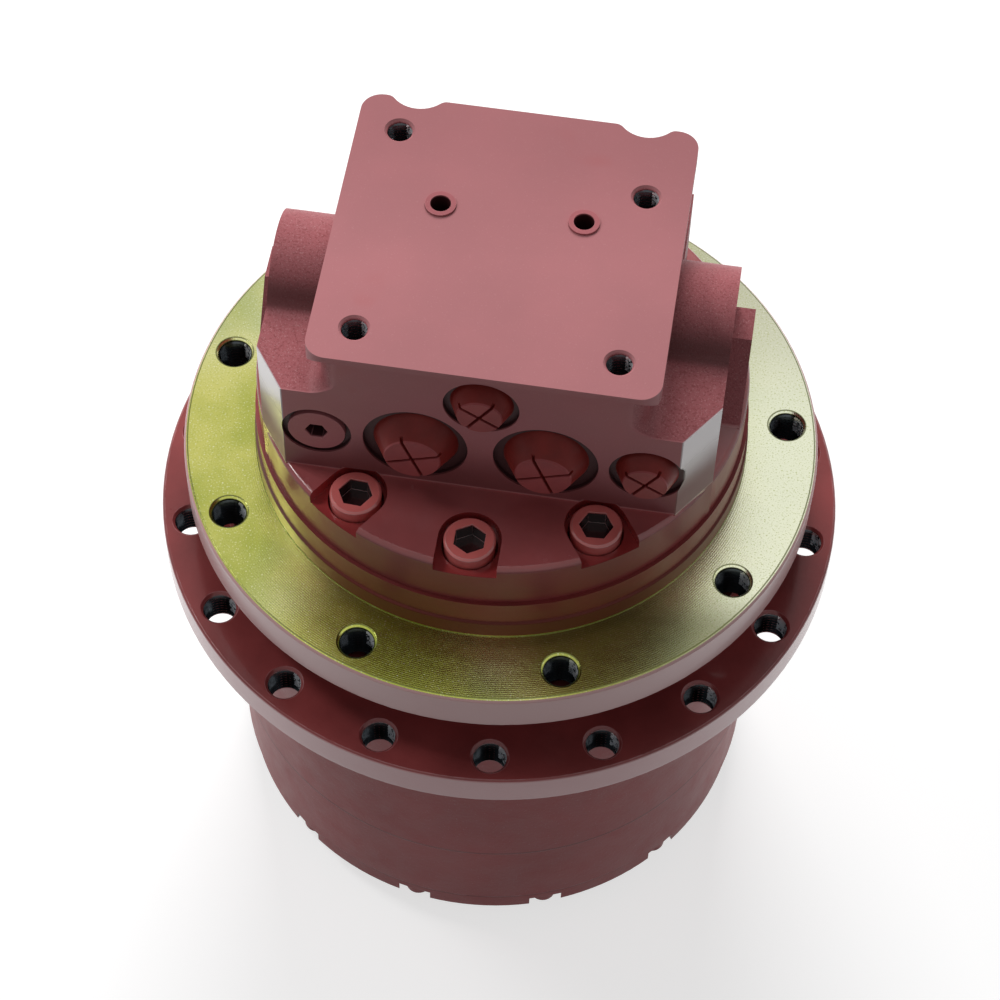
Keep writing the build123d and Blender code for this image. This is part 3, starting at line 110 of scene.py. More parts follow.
class Surface:
    """A material being put together, with short calls for the nodes it needs."""

    def __init__(self, name: str) -> None:
        """Starts a material with an empty principled shader."""
        self.material = bpy.data.materials.new(name)
        self.material.use_nodes = True
        self.tree = self.material.node_tree
        self.shader = self.tree.nodes["Principled BSDF"]
        self.place = self.node("ShaderNodeTexCoord").outputs["Object"]

    def node(self, kind: str, **settings: object) -> bpy.types.Node:
        """Adds one node.

        Args:
            kind: the node's type name.
            **settings: properties set on the node.

        Returns:
            The new node.
        """
        made = self.tree.nodes.new(kind)
        for name, value in settings.items():
            setattr(made, name, value)
        return made

    def join(self, source: Value | Colour, target: Socket) -> None:
        """Links a socket, or sets a plain value where source isn't one.

        Args:
            source: what the target takes.
            target: the input that takes it.
        """
        if isinstance(source, Socket):
            self.tree.links.new(source, target)
        elif isinstance(source, tuple):
            target.default_value = (*source, 1.0)[: len(target.default_value)]
        else:
            target.default_value = source

    def set(self, **values: Value | Colour) -> None:
        """Sets or links the shader's own inputs, with _ for a space in their names."""
        for name, value in values.items():
            self.join(value, self.shader.inputs[name.replace("_", " ")])

    def noise(self, scale: float, detail: float = 3.0, stretch: Colour = WHITE) -> Socket:
        """A cloud pattern.

        Args:
            scale: clouds per metre.
            detail: how many finer layers it has.
            stretch: how much closer the clouds stand along each axis.

        Returns:
            A value from 0 to 1, mostly near 0.5.
        """
        spread = self.node("ShaderNodeMapping")
        spread.inputs["Scale"].default_value = stretch
        self.join(self.place, spread.inputs["Vector"])
        cloud = self.node("ShaderNodeTexNoise")
        self.join(spread.outputs["Vector"], cloud.inputs["Vector"])
        cloud.inputs["Scale"].default_value = scale
        cloud.inputs["Detail"].default_value = detail
        return cloud.outputs["Fac"]

    def step(self, value: Socket, low: float, high: float) -> Socket:
        """A soft step.

        Args:
            value: what is measured.
            low: the value at which the step is 0.
            high: the value at which it is 1, which may be the lower number.

        Returns:
            The step, from 0 to 1.
        """
        ramp = self.node("ShaderNodeMapRange", interpolation_type="SMOOTHSTEP")
        reverse = low > high
        self.join(value, ramp.inputs["Value"])
        ramp.inputs["From Min"].default_value = min(low, high)
        ramp.inputs["From Max"].default_value = max(low, high)
        ramp.inputs["To Min"].default_value = 1.0 if reverse else 0.0
        ramp.inputs["To Max"].default_value = 0.0 if reverse else 1.0
        return ramp.outputs["Result"]

    def along(self, axis: Axis) -> Socket:
        """The place along one axis, in metres."""
        split = self.node("ShaderNodeSeparateXYZ")
        self.join(self.place, split.inputs["Vector"])
        return split.outputs[axis.value]

    def fade(self, axis: Axis, start_mm: float, end_mm: float) -> Socket:
        """A mask that is 0 at one place along an axis and 1 at another."""
        return self.step(self.along(axis), start_mm * MM, end_mm * MM)

    def outward(self, start_mm: float, end_mm: float) -> Socket:
        """A mask that is 0 at one distance from the drive's axis and 1 at another."""
        return self.step(self.radius(), start_mm * MM, end_mm * MM)

    def distance(self, centre: Colour, axis: Axis) -> Socket:
        """The distance from a line, in metres.

        Args:
            centre: a point on the line, in metres.
            axis: the line's direction.

        Returns:
            How far each point of the surface lies from it.
        """
        offset = self.node("ShaderNodeVectorMath", operation="SUBTRACT")
        self.join(self.place, offset.inputs[0])
        offset.inputs[1].default_value = centre
        flat = self.node("ShaderNodeVectorMath", operation="MULTIPLY")
        self.join(offset.outputs["Vector"], flat.inputs[0])
        flat.inputs[1].default_value = [float(n != axis.value) for n in range(3)]
        length = self.node("ShaderNodeVectorMath", operation="LENGTH")
        self.join(flat.outputs["Vector"], length.inputs[0])
        return length.outputs["Value"]

    def radius(self) -> Socket:
        """The distance from the drive's axis, in metres."""
        return self.distance((0.0, 0.0, 0.0), Axis.Z)

    def beyond(self, facing: Colour, start_mm: float, soft_mm: float = 0.4) -> Socket:
        """A mask of what lies farther out than a plane.

        Args:
            facing: the plane's unit normal.
            start_mm: how far the plane stands from the origin.
            soft_mm: how far in front of the plane the mask is full.

        Returns:
            The mask, 0 behind the plane.
        """
        outward = self.node("ShaderNodeVectorMath", operation="DOT_PRODUCT")
        self.join(self.place, outward.inputs[0])
        outward.inputs[1].default_value = facing
        return self.step(outward.outputs["Value"], start_mm * MM, (start_mm + soft_mm) * MM)

    def eased_edges(self) -> Socket:
        """The mark an eased node carries along its edges, and a thread piece on its painted-glint
        flanks.
        """
        return self.node("ShaderNodeAttribute", attribute_name=EDGE_MARK).outputs["Fac"]

    def most(self, *values: Value) -> Value:
        """The largest of several values."""
        result = values[0]
        for value in values[1:]:
            result = self.maths("MAXIMUM", result, value)
        return result

    def both(self, first: Value, *others: Value) -> Socket:
        """The product of masks and shares."""
        result = first
        for other in others:
            result = self.maths("MULTIPLY", result, other)
        return result

    def maths(self, operation: str, first: Value, second: Value) -> Socket:
        """One sum on two values.

        Args:
            operation: the sum's name.
            first: its first value.
            second: its second value.

        Returns:
            The result.
        """
        made = self.node("ShaderNodeMath", operation=operation)
        self.join(first, made.inputs[0])
        self.join(second, made.inputs[1])
        return made.outputs["Value"]

    def mix(
        self, kind: str, places: tuple[int, int, int], share: Value, *ends: Value | Colour
    ) -> Socket:
        """Mixes two values of one kind.

        Args:
            kind: the node's data type.
            places: where the node has the first and the second input, and the result.
            share: 0 gives the first end and 1 the second.
            *ends: the two values.

        Returns:
            The mixture.
        """
        mixer = self.node("ShaderNodeMix", data_type=kind)
        self.join(share, mixer.inputs["Factor"])
        for place, end in zip(places, ends):
            self.join(end, mixer.inputs[place])
        return mixer.outputs[places[2]]

    def blend(self, share: Value, under: Tint, over: Tint) -> Socket:
        """Mixes two colours: a share of 0 gives under and 1 gives over."""
        return self.mix("RGBA", (6, 7, 2), share, under, over)

    def level(self, share: Value, under: Value, over: Value) -> Socket:
        """Mixes two plain values: a share of 0 gives under and 1 gives over."""
        return self.mix("FLOAT", (2, 3, 0), share, under, over)

    def relief(self, height: Socket, depth_mm: float) -> None:
        """Raises the surface by a height pattern, without changing the mesh.

        Args:
            height: the pattern, from 0 to 1.
            depth_mm: how high 1 stands.
        """
        bump = self.node("ShaderNodeBump")
        bump.inputs["Strength"].default_value = 1.0
        bump.inputs["Distance"].default_value = depth_mm * MM
        self.join(height, bump.inputs["Height"])
        self.join(bump.outputs["Normal"], self.shader.inputs["Normal"])


def shaded(colour: Colour, share: float) -> Colour:
    """The colour made darker or lighter by a share."""
    return tuple(channel * share for channel in colour)


@dataclass(frozen=True)
class Cloud:
    """A mottled pattern, and the levels between which it starts to show."""

    per_metre: float
    layers: float
    low: float
    high: float
    share: float = 1.0

    def mask(self, s: Surface) -> Socket:
        """A mask of the pattern, as strong as its share."""
        return s.both(s.step(s.noise(self.per_metre, self.layers), self.low, self.high), self.share)


@dataclass(frozen=True)
class Waver:
    """A value that wavers between two limits over a surface."""

    per_metre: float
    low: float
    high: float
    layers: float = 3.0

    def value(self, s: Surface) -> Socket:
        """The wavering value."""
        return s.level(s.noise(self.per_metre, self.layers), self.low, self.high)


@dataclass(frozen=True)
class Hollow:
    """A round recess, darkened with painted shade."""

    centre_mm: Colour
    radius_mm: float
    axis: Axis
    mouth_mm: float
    floor_mm: float
    clear_mm: Span = (0.5, 0.1)
    below_mouth_mm: Span = (0.3, 1.1)
    past_floor_mm: Span = (0.9, 0.4)

    def mask(self, s: Surface) -> Socket:
        """A mask of the recess, from just inside its mouth to its floor."""
        centre = tuple(part * MM for part in self.centre_mm)
        inside = s.step(
            s.distance(centre, self.axis), *((self.radius_mm + part) * MM for part in self.clear_mm)
        )
        inward = math.copysign(1.0, self.floor_mm - self.mouth_mm)
        sunk = s.fade(self.axis, *(self.mouth_mm + part * inward for part in self.below_mouth_mm))
        ends = s.fade(self.axis, *(self.floor_mm + part * inward for part in self.past_floor_mm))
        return s.both(inside, s.both(sunk, ends))


# The recesses that get painted shade.
FRONT_SPOTS = tuple(
    Hollow((x, 0.0, z), radius, Axis.Y, FRONT_Y, FRONT_Y + 2.5)
    for x, z, radius in (
        (-26.0, PORT_Z, 21.0),
        (26.0, PORT_Z, 21.0),
        (66.0, PORT_Z, 15.0),
        (0.0, 100.0, 15.0),
        (-65.5, PORT_Z, 14.0),
    )
)
PLUG_SOCKET = (Hollow((-65.5, 0.0, PORT_Z), 5.2, Axis.Y, FRONT_Y, FRONT_Y + 9.5),)
SCREW_RING_R = 88.0
SCREW_SOCKETS = tuple(
    Hollow(
        (
            SCREW_RING_R * math.cos(math.radians(angle)),
            SCREW_RING_R * math.sin(math.radians(angle)),
            0.0,
        ),
        6.9,
        Axis.Z,
        LEDGE_Z,
        LEDGE_Z - 14.5,
    )
    for angle in (-123.5, -90.0, -56.5, 58.0, 90.0, 122.0)
)
SLEEVE_BORES, SLEEVE_SEATS = (
    tuple(Hollow((x, SLEEVE_Y, 0.0), radius, Axis.Z, mouth, 112.0) for x in (-SLEEVE_X, SLEEVE_X))
    for radius, mouth in ((4.1, 125.9), (5.8, 122.0))
)


@dataclass
class Layers:
    """A paint's colour, gloss and clear skin while its layers are laid over each other."""

    s: Surface
    colour: Socket
    glossy: Value
    clear: Value
    relief: Socket

    def lay(self, share: Value, over: Tint) -> None:
        """Lays a colour over what is there, as strongly as the share says."""
        self.colour = self.s.blend(share, self.colour, over)


@dataclass(frozen=True)
class RedPaint:
    """Oxide red paint, which lies satin on machined faces and thick and glossy elsewhere."""

    gloss_above_mm: float | None = None
    gloss_below_mm: float | None = None
    hollows: tuple[Hollow, ...] = ()
    rim_mm: float | None = None
    # Heights of the steps that get a band of painted shade.
    lines_mm: tuple[float, ...] = ()
    satin: Colour = (0.385, 0.118, 0.130)
    gloss: Colour = (0.300, 0.036, 0.036)
    shade: Colour = (0.030, 0.006, 0.007)
    # Pale colour of the dusty specks and grit, and of the painted sheen on the top and front faces.
    dust_and_sheen: Colour = (0.60, 0.33, 0.34)
    # Paler paint of the eased edges: partly wear, partly a painted highlight.
    rubbed_and_highlit: Colour = (0.50, 0.22, 0.23)
    # Pale colour that stands in for the rim's reflection of the pale surroundings.
    rim: Colour = (0.60, 0.285, 0.300)
    mottle: Cloud = Cloud(22.0, 5.0, 0.30, 0.72)
    satin_shares: Span = (0.90, 1.07)
    gloss_shares: Span = (0.78, 1.20)
    blush: Cloud = Cloud(31.0, 2.0, 0.66, 0.78, 0.35)
    blush_share: float = 1.25
    specks: Cloud = Cloud(1500.0, 2.0, 0.62, 0.76, 0.22)
    worn: Cloud = Cloud(130.0, 4.0, 0.34, 0.60)
    worn_share: float = 0.45
    satin_rough: Waver = Waver(90.0, 0.42, 0.60)
    gloss_rough: Waver = Waver(45.0, 0.13, 0.32)
    satin_clear: float = 0.0
    gloss_clear: float = 0.55
    rim_clear: float = 0.8
    clear_rough: float = 0.10
    shine: float = 0.34
    peel_mm: float = 0.08
    peel_layers: float = 2.0
    wave_per_metre: float = 60.0
    wave_mm: float = 1.2
    below_soft_mm: float = 1.6
    above_soft_mm: float = 1.0
    line_share: float = 0.55
    under_line_mm: Span = (-2.6, -0.8)
    over_line_mm: Span = (2.0, 0.4)
    rim_soft_mm: float = 0.4

    def build(self, name: str) -> Material:
        """Makes the paint and returns the material."""
        look = self.first_layers(Surface(name))
        self.add_lines(look)
        self.add_rim(look)
        self.add_cast_layers(look)
        self.add_shade(look)
        self.finish(look)
        return look.s.material

    def first_layers(self, s: Surface) -> Layers:
        """Lays the satin and the glossy paint side by side, with dusty specks in the satin.

        Args:
            s: the material being put together.

        Returns:
            The layers to build on.
        """
        glossy = self.glossy_part(s)
        cloud = self.mottle.mask(s)
        matt = s.blend(cloud, *(shaded(self.satin, share) for share in self.satin_shares))
        deep = s.blend(cloud, *(shaded(self.gloss, share) for share in self.gloss_shares))
        matt = s.blend(self.blush.mask(s), matt, shaded(self.gloss, self.blush_share))
        matt = s.blend(self.specks.mask(s), matt, self.dust_and_sheen)
        clear: Value = self.satin_clear
        if isinstance(glossy, Socket):
            clear = s.level(glossy, self.satin_clear, self.gloss_clear)
        peel = s.noise(Grain.ORANGE_PEEL.value, self.peel_layers)
        return Layers(s, s.blend(glossy, matt, deep), glossy, clear, peel)

    def glossy_part(self, s: Surface) -> Value:
        """A mask of the part that is glossy, with a wavering border."""
        waver = s.both(s.noise(self.wave_per_metre), self.wave_mm * MM)
        height = s.maths("ADD", s.along(Axis.Z), waver)
        if self.gloss_above_mm is not None:
            start = self.gloss_above_mm
            return s.step(height, start * MM, (start + self.above_soft_mm) * MM)
        if self.gloss_below_mm is not None:
            end = self.gloss_below_mm
            return s.step(height, (end + self.below_soft_mm) * MM, end * MM)
        return 0.0

    def add_lines(self, look: Layers) -> None:
        """Lays a band of painted shade along each listed step."""
        s = look.s
        for line in self.lines_mm:
            near = s.both(
                s.fade(Axis.Z, *(line + part for part in self.under_line_mm)),
                s.fade(Axis.Z, *(line + part for part in self.over_line_mm)),
            )
            # Painted shade along the step.
            look.lay(s.both(near, self.line_share), self.shade)

    def add_rim(self, look: Layers) -> None:
        """Paints a pale reflection of the surroundings on the outermost rim, and gives it more
        clear coat.
        """
        if self.rim_mm is None:
            return
        on_rim = look.s.outward(self.rim_mm, self.rim_mm + self.rim_soft_mm)
        # Painted reflection on the rim.
        look.lay(on_rim, self.rim)
        look.clear = look.s.level(on_rim, look.clear, self.rim_clear)

    def add_cast_layers(self, look: Layers) -> None:
        """Nothing more on turned pieces; a casting has layers of its own."""

    def add_shade(self, look: Layers) -> None:
        """Paints shade in the recesses, and lays the eased edges paler, partly as worn paint and
        partly as a painted highlight.
        """
        s = look.s
        if self.hollows:
            # Painted shade in each recess: spot faces, bores and sockets.
            look.lay(s.most(*(hollow.mask(s) for hollow in self.hollows)), self.shade)
        # Eased edges laid paler: partly worn paint, partly a painted highlight.
        rub_and_highlight = s.both(s.eased_edges(), self.worn.mask(s))
        look.lay(s.both(rub_and_highlight, self.worn_share), self.rubbed_and_highlit)

    def finish(self, look: Layers) -> None:
        """Gives the shader what the layers came to."""
        s = look.s
        s.set(
            Base_Color=look.colour,
            Roughness=s.level(look.glossy, self.satin_rough.value(s), self.gloss_rough.value(s)),
            Coat_Weight=look.clear,
            Coat_Roughness=self.clear_rough,
            Specular_IOR_Level=self.shine,
        )
        s.relief(look.relief, self.peel_mm)


@dataclass(frozen=True)
class CastPaint(RedPaint):
    """The same paint on the rear cover, whose faces are partly cast and partly machined."""

    top_mm: Span = (TOP_Z - 1.0, TOP_Z - 0.4)
    front_mm: Span = (FRONT_Y + 0.9, FRONT_Y + 0.3)
    over_ledge_mm: Span = (LEDGE_Z + 0.3, LEDGE_Z + 1.0)
    pits: Cloud = Cloud(1100.0, 3.0, 0.50, 0.34)
    pit_share: float = 0.42
    pit_shade: float = 0.5
    cast_share: float = 0.16
    deep_shade: float = 0.3
    grit: Cloud = Cloud(1700.0, 2.0, 0.58, 0.70)
    grit_share: float = 0.4
    top_sheen: float = 0.26
    front_sheen: float = 0.16
    back_mm: Span = (-25.0, 75.0)
    back_share: float = 0.34
    back_shade: float = 0.50
    painted_shade_level: float = 0.2
    foot_shade_share: float = 0.75
    foot_shade_mm: Span = (LEDGE_Z + 40.0, LEDGE_Z + 7.0)
    foot_shade_wave: Span = (40.0, 3.0)
    foot_shade_wave_mm: float = 12.0
    ledge_highlight_share: float = 0.5
    bead_low_mm: Span = (LEDGE_Z - 0.2, LEDGE_Z + 0.2)
    bead_high_mm: Span = (LEDGE_Z + 1.3, LEDGE_Z + 0.7)
    boss_shade_share: float = 0.80
    boss_z: float = 88.0
    boss_mm: Span = (28.0, 25.6)
    boss_top_mm: Span = (109.0, 101.0)
    boss_low_mm: Span = (94.6, 95.6)
    boss_front_mm: Span = (-10.0, -17.0)
    side_mm: Span = (101.6, 101.9)
    side_from_mm: Span = (-97.0, -70.0)
    side_low_mm: Span = (LEDGE_Z + 0.3, LEDGE_Z)
    side_clear: float = 0.05
    side_share: float = 0.55
    side_gloss: float = 0.15
    # Pale colours that stand in for the facets' reflection, higher up and low down.
    facet_sheen: Colour = (0.50, 0.42, 0.44)
    low_facet_sheen: Colour = (0.20, 0.085, 0.085)
    facet: Colour = (0.818, -0.575, 0.0)
    facet_mm: float = 100.55
    facet_low_mm: Span = (45.6, 46.4)
    film_mm: Span = (56.0, 84.0)
    film_clear: Span = (0.06, 0.9)
    # Pale specks that stand in for glints along the glossy edges.
    edge_glints: Cloud = Cloud(620.0, 2.0, 0.60, 0.66)
    edge_glint_share: float = 0.85
    edge_glint: Colour = (0.95, 0.86, 0.84)
    skin_layers: float = 3.0
    skin_height: float = 1.3
    machined_peel: float = 0.35

    def add_cast_layers(self, look: Layers) -> None:
        """Adds the casting's skin, pits and grit, and its painted sheen, shade, highlight and
        glints.
        """
        s = look.s
        on_top = s.fade(Axis.Z, *self.top_mm)
        on_front = s.fade(Axis.Y, *self.front_mm)
        machined = s.most(on_top, on_front, look.glossy)
        wet = self.facets(s)
        self.add_pits(look, machined)
        self.paint_face_light(look, on_top, on_front)
        look.lay(s.both(self.grit.mask(s), s.level(machined, self.grit_share, 0.0)), self.dust_and_sheen)
        self.paint_shade_and_ledge_highlight(look, on_front)
        dull = self.dull_and_shade_sides(look)
        self.paint_facet_sheen(look, wet, dull)
        skin = s.both(s.noise(Grain.CAST_SKIN.value, self.skin_layers), self.skin_height)
        smooth = s.both(look.relief, self.machined_peel)
        look.relief = s.level(s.most(machined, wet), skin, smooth)

    def add_pits(self, look: Layers, machined: Socket) -> None:
        """Darkens the pits, and the cast faces, partly as a darker paint and partly as painted
        shade.

        Args:
            look: the paint's layers.
            machined: a mask of the faces that are not cast.
        """
        s = look.s
        pits = s.both(self.pits.mask(s), s.level(machined, self.pit_share, 0.0))
        look.lay(pits, shaded(self.gloss, self.pit_shade))
        # Cast faces laid darker: partly their own paint, partly painted shade.
        look.lay(s.level(machined, self.cast_share, 0.0), shaded(self.gloss, self.deep_shade))

    def paint_face_light(self, look: Layers, on_top: Socket, on_front: Socket) -> None:
        """Paints a sheen on the top and the front face, and paints shade on the back of the top.

        Args:
            look: the paint's layers.
            on_top: a mask of the top face.
            on_front: a mask of the front face.
        """
        s = look.s
        # Painted sheen: the top face is laid paler, as where light falls on it.
        look.lay(s.both(on_top, self.top_sheen), self.dust_and_sheen)
        # Painted sheen on the front face above the ledge.
        upright = s.both(on_front, s.fade(Axis.Z, *self.over_ledge_mm))
        look.lay(s.both(upright, s.level(on_top, self.front_sheen, 0.0)), self.dust_and_sheen)
        # Painted shade: the back of the top face is laid darker.
        back = s.both(on_top, s.fade(Axis.Y, *self.back_mm))
        look.lay(s.both(back, self.back_share), shaded(self.satin, self.back_shade))

    def paint_shade_and_ledge_highlight(self, look: Layers, on_front: Socket) -> None:
        """Lays painted shade low on the front face and on the bosses' lower front, and a painted
        highlight along the ledge.

        Args:
            look: the paint's layers.
            on_front: a mask of the front face.
        """
        s = look.s
        # Painted shade, darker towards the foot of the front face.
        foot_shade = s.both(self.foot_shade(s), on_front, self.foot_shade_share)
        look.lay(foot_shade, shaded(self.gloss, self.deep_shade))
        # Painted highlight along the ledge.
        look.lay(s.both(self.ledge_highlight(s), self.ledge_highlight_share), self.rubbed_and_highlit)
        # Painted shade on the lower front of the bosses.
        look.lay(s.both(self.boss_foot_shade(s), self.boss_shade_share), shaded(self.gloss, self.painted_shade_level))

    def dull_and_shade_sides(self, look: Layers) -> Socket:
        """Takes the gloss from the cover's turned side, and paints shade on it below the ledge.

        Args:
            look: the paint's layers.

        Returns:
            A mask of the turned side below the ledge.
        """
        s = look.s
        side = s.both(s.outward(*self.side_mm), s.fade(Axis.X, *self.side_from_mm))
        look.clear = s.level(side, look.clear, self.side_clear)
        dull = s.both(side, s.fade(Axis.Z, *self.side_low_mm))
        # Painted shade on the turned side below the ledge, all but its left end.
        look.lay(s.both(dull, self.side_share), shaded(self.gloss, self.painted_shade_level))
        return dull

    def paint_facet_sheen(self, look: Layers, wet: Socket, dull: Socket) -> None:
        """Paints a sheen on the two facets, darker low down, coats them, and paints glints along
        glossy edges.

        Args:
            look: the paint's layers.
            wet: a mask of the facets.
            dull: a mask of the side that has no gloss.
        """
        s = look.s
        high = s.fade(Axis.Z, *self.film_mm)
        # Painted sheen on the facets, darker and redder towards their foot.
        look.lay(wet, s.blend(high, self.low_facet_sheen, self.facet_sheen))
        glossy = s.most(look.glossy, s.both(wet, high))
        look.glossy = s.both(glossy, s.level(dull, 1.0, self.side_gloss))
        look.clear = s.level(wet, look.clear, s.level(high, *self.film_clear))
        # Painted glints along the glossy eased edges.
        edge_glints = s.both(self.edge_glints.mask(s), s.eased_edges())
        edge_glints = s.both(edge_glints, look.glossy, s.level(dull, 1.0, 0.0), self.edge_glint_share)
        look.lay(edge_glints, self.edge_glint)

    def facets(self, s: Surface) -> Socket:
        """A mask of the two facets beside the front face, which get a painted sheen and a clear
        coat.
        """
        right, front, up = self.facet
        sides = s.most(
            s.beyond((right, front, up), self.facet_mm),
            s.beyond((-right, front, up), self.facet_mm),
        )
        return s.both(sides, s.fade(Axis.Z, *self.facet_low_mm))

    def boss_foot_shade(self, s: Surface) -> Socket:
        """A mask of the painted shade on the lower front of the two bosses."""
        on_boss = s.step(
            s.distance((0.0, 0.0, self.boss_z * MM), Axis.X), *(part * MM for part in self.boss_mm)
        )
        low = s.both(s.fade(Axis.Z, *self.boss_top_mm), s.fade(Axis.Z, *self.boss_low_mm))
        return s.both(on_boss, low, s.fade(Axis.Y, *self.boss_front_mm))

    def foot_shade(self, s: Surface) -> Socket:
        """A mask of painted shade that deepens down the front face towards the ledge, with a ragged
        top.
        """
        wave = s.both(s.noise(*self.foot_shade_wave), self.foot_shade_wave_mm * MM)
        ragged = s.maths("ADD", s.along(Axis.Z), wave)
        low = s.step(ragged, *(part * MM for part in self.foot_shade_mm))
        return s.both(low, s.fade(Axis.Z, *self.over_ledge_mm))

    def ledge_highlight(self, s: Surface) -> Socket:
        """A mask of a band at the ledge's height, below the front face, that gets a painted
        highlight.
        """
        return s.both(s.fade(Axis.Z, *self.bead_low_mm), s.fade(Axis.Z, *self.bead_high_mm))


@dataclass(frozen=True)
class YellowZinc:
    """Yellow-passivated zinc on the flange's turned face, with paint all round it."""

    olive: Colour = (0.34, 0.38, 0.065)
    yellow: Colour = (0.58, 0.56, 0.16)
    pale: Colour = (0.86, 0.88, 0.72)
    grey: Colour = (0.50, 0.50, 0.38)
    # Dark olive of the painted reflection at the front right, and of the eased edges.
    dark_olive: Colour = (0.10, 0.105, 0.030)
    paint: Colour = (0.130, 0.022, 0.016)
    # Pale red standing in for the red rim's reflection of the pale surroundings.
    rim_paint: Colour = (0.62, 0.34, 0.34)
    bore: Colour = (0.05, 0.055, 0.06)
    patches: Cloud = Cloud(19.0, 5.0, 0.36, 0.66)
    stains: Cloud = Cloud(8.0, 3.0, 0.46, 0.72, 0.35)
    pale_specks: Cloud = Cloud(1300.0, 4.0, 0.56, 0.74, 0.55)
    olive_specks: Cloud = Cloud(1300.0, 4.0, 0.46, 0.30, 0.60)
    # Where the zinc is laid paler towards the right, as a painted glare.
    right_glare_x: Span = (52.0, 120.0)
    right_glare_share: float = 0.82
    # Where the zinc is laid greyer towards the back, as a painted reflection.
    back_y: Span = (15.0, 95.0)
    back_x: Span = (-45.0, 95.0)
    back_share: float = 0.8
    dark_sector_x: Span = (20.0, 70.0)
    dark_sector_y: Span = (-62.0, -88.0)
    dark_sector_share: float = 0.62
    edge_share: float = 0.8
    wet_x: Span = (-50.0, -98.0)
    wet_clear: float = 0.8
    rim_clear: float = 0.9
    rim_mm: Span = (133.9, 134.3)
    underside_mm: Span = (-19.7, -20.0)
    neck_mm: Span = (105.2, 104.9)
    raised_mm: Span = (0.4, 0.9)
    mouth_mm: Span = (-1.0, -1.2)
    metal_rough: Waver = Waver(240.0, 0.15, 0.27, 4.0)
    paint_rough: Waver = Waver(45.0, 0.34, 0.52)
    clear_rough: float = 0.20
    shine: float = 0.16
    groove_mm: float = 0.9
    groove_height: float = 0.12
    grain_layers: float = 3.0
    peel_height: float = 0.8
    relief_mm: float = 0.04

    def build(self, name: str) -> Material:
        """Makes the finish of the spindle casting and returns the material."""
        s = Surface(name)
        rim = s.outward(*self.rim_mm)
        painted = self.painted(s, rim)
        wet = s.both(painted, s.both(s.fade(Axis.X, *self.wet_x), self.wet_clear))
        s.set(
            # The rim's pale colour is a painted reflection.
            Base_Color=s.blend(painted, self.metal(s), s.blend(rim, self.paint, self.rim_paint)),
            Metallic=s.level(painted, 1.0, 0.0),
            Roughness=s.level(painted, self.metal_rough.value(s), self.paint_rough.value(s)),
            Coat_Weight=s.level(rim, wet, self.rim_clear),
            Coat_Roughness=self.clear_rough,
            Specular_IOR_Level=self.shine,
        )
        peel = s.both(s.noise(Grain.ORANGE_PEEL.value), self.peel_height)
        s.relief(s.level(painted, self.turned(s), peel), self.relief_mm)
        return s.material

    def metal(self, s: Surface) -> Socket:
        """The zinc's colour: patches, pale stains, specks, dark bores and edges, and painted
        reflections.
        """
        metal = s.blend(self.patches.mask(s), self.olive, self.yellow)
        # Painted glare: the zinc is laid paler towards the right.
        right_glare = s.both(s.fade(Axis.X, *self.right_glare_x), self.right_glare_share)
        metal = s.blend(s.most(self.stains.mask(s), right_glare), metal, self.pale)
        # Painted reflection: the zinc is laid greyer towards the back.
        back = s.both(s.fade(Axis.Y, *self.back_y), s.fade(Axis.X, *self.back_x))
        metal = s.blend(s.both(back, self.back_share), metal, self.grey)
        metal = s.blend(self.pale_specks.mask(s), metal, self.pale)
        metal = s.blend(self.olive_specks.mask(s), metal, self.olive)
        metal = s.blend(s.fade(Axis.Z, *self.mouth_mm), metal, self.bore)
        # Painted reflection of the dark cover on the zinc's front right.
        dark_olive = s.both(s.fade(Axis.X, *self.dark_sector_x), s.fade(Axis.Y, *self.dark_sector_y))
        metal = s.blend(s.both(dark_olive, self.dark_sector_share), metal, self.dark_olive)
        # The eased edges are laid dark olive.
        return s.blend(s.both(s.eased_edges(), self.edge_share), metal, self.dark_olive)

    def turned(self, s: Surface) -> Socket:
        """The relief of the turning marks and the metal's fine grain."""
        rings = s.maths("SINE", s.both(s.radius(), math.tau / (self.groove_mm * MM)), 0.0)
        grain = s.noise(Grain.FINE_METAL.value, self.grain_layers)
        return s.maths("ADD", grain, s.both(rings, self.groove_height))

    def painted(self, s: Surface, rim: Socket) -> Socket:
        """A mask of what is painted.

        Args:
            s: the material being put together.
            rim: a mask of the flange's rim.

        Returns:
            The rim, the underside and the neck inside the ring.
        """
        inside = s.both(s.outward(*self.neck_mm), s.fade(Axis.Z, *self.raised_mm))
        return s.most(rim, s.fade(Axis.Z, *self.underside_mm), inside)


@dataclass(frozen=True)
class PlainFinish:
    """One mottled colour all over: bare metal with faint tool marks, unless told otherwise."""

    colour: Colour
    roughness: float = 0.3
    metallic: float = 1.0
    relief_mm: float = 0.02
    mottle: Cloud = Cloud(55.0, 4.0, 0.3, 0.7)
    dark_share: float = 0.84
    rough_per_metre: float = 260.0
    rough_spread: Span = (-0.06, 0.10)
    grain: float = Grain.TOOL_MARKS.value
    grain_layers: float = 2.0
    grain_stretch: Colour = (1.0, 1.0, 6.0)

    def build(self, name: str) -> Material:
        """Makes the finish and returns the material."""
        s = Surface(name)
        limits = (self.roughness + part for part in self.rough_spread)
        s.set(
            Base_Color=s.blend(
                self.mottle.mask(s), shaded(self.colour, self.dark_share), self.colour
            ),
            Metallic=self.metallic,
            Roughness=Waver(self.rough_per_metre, *limits).value(s),
        )
        s.relief(s.noise(self.grain, self.grain_layers, self.grain_stretch), self.relief_mm)
        return s.material


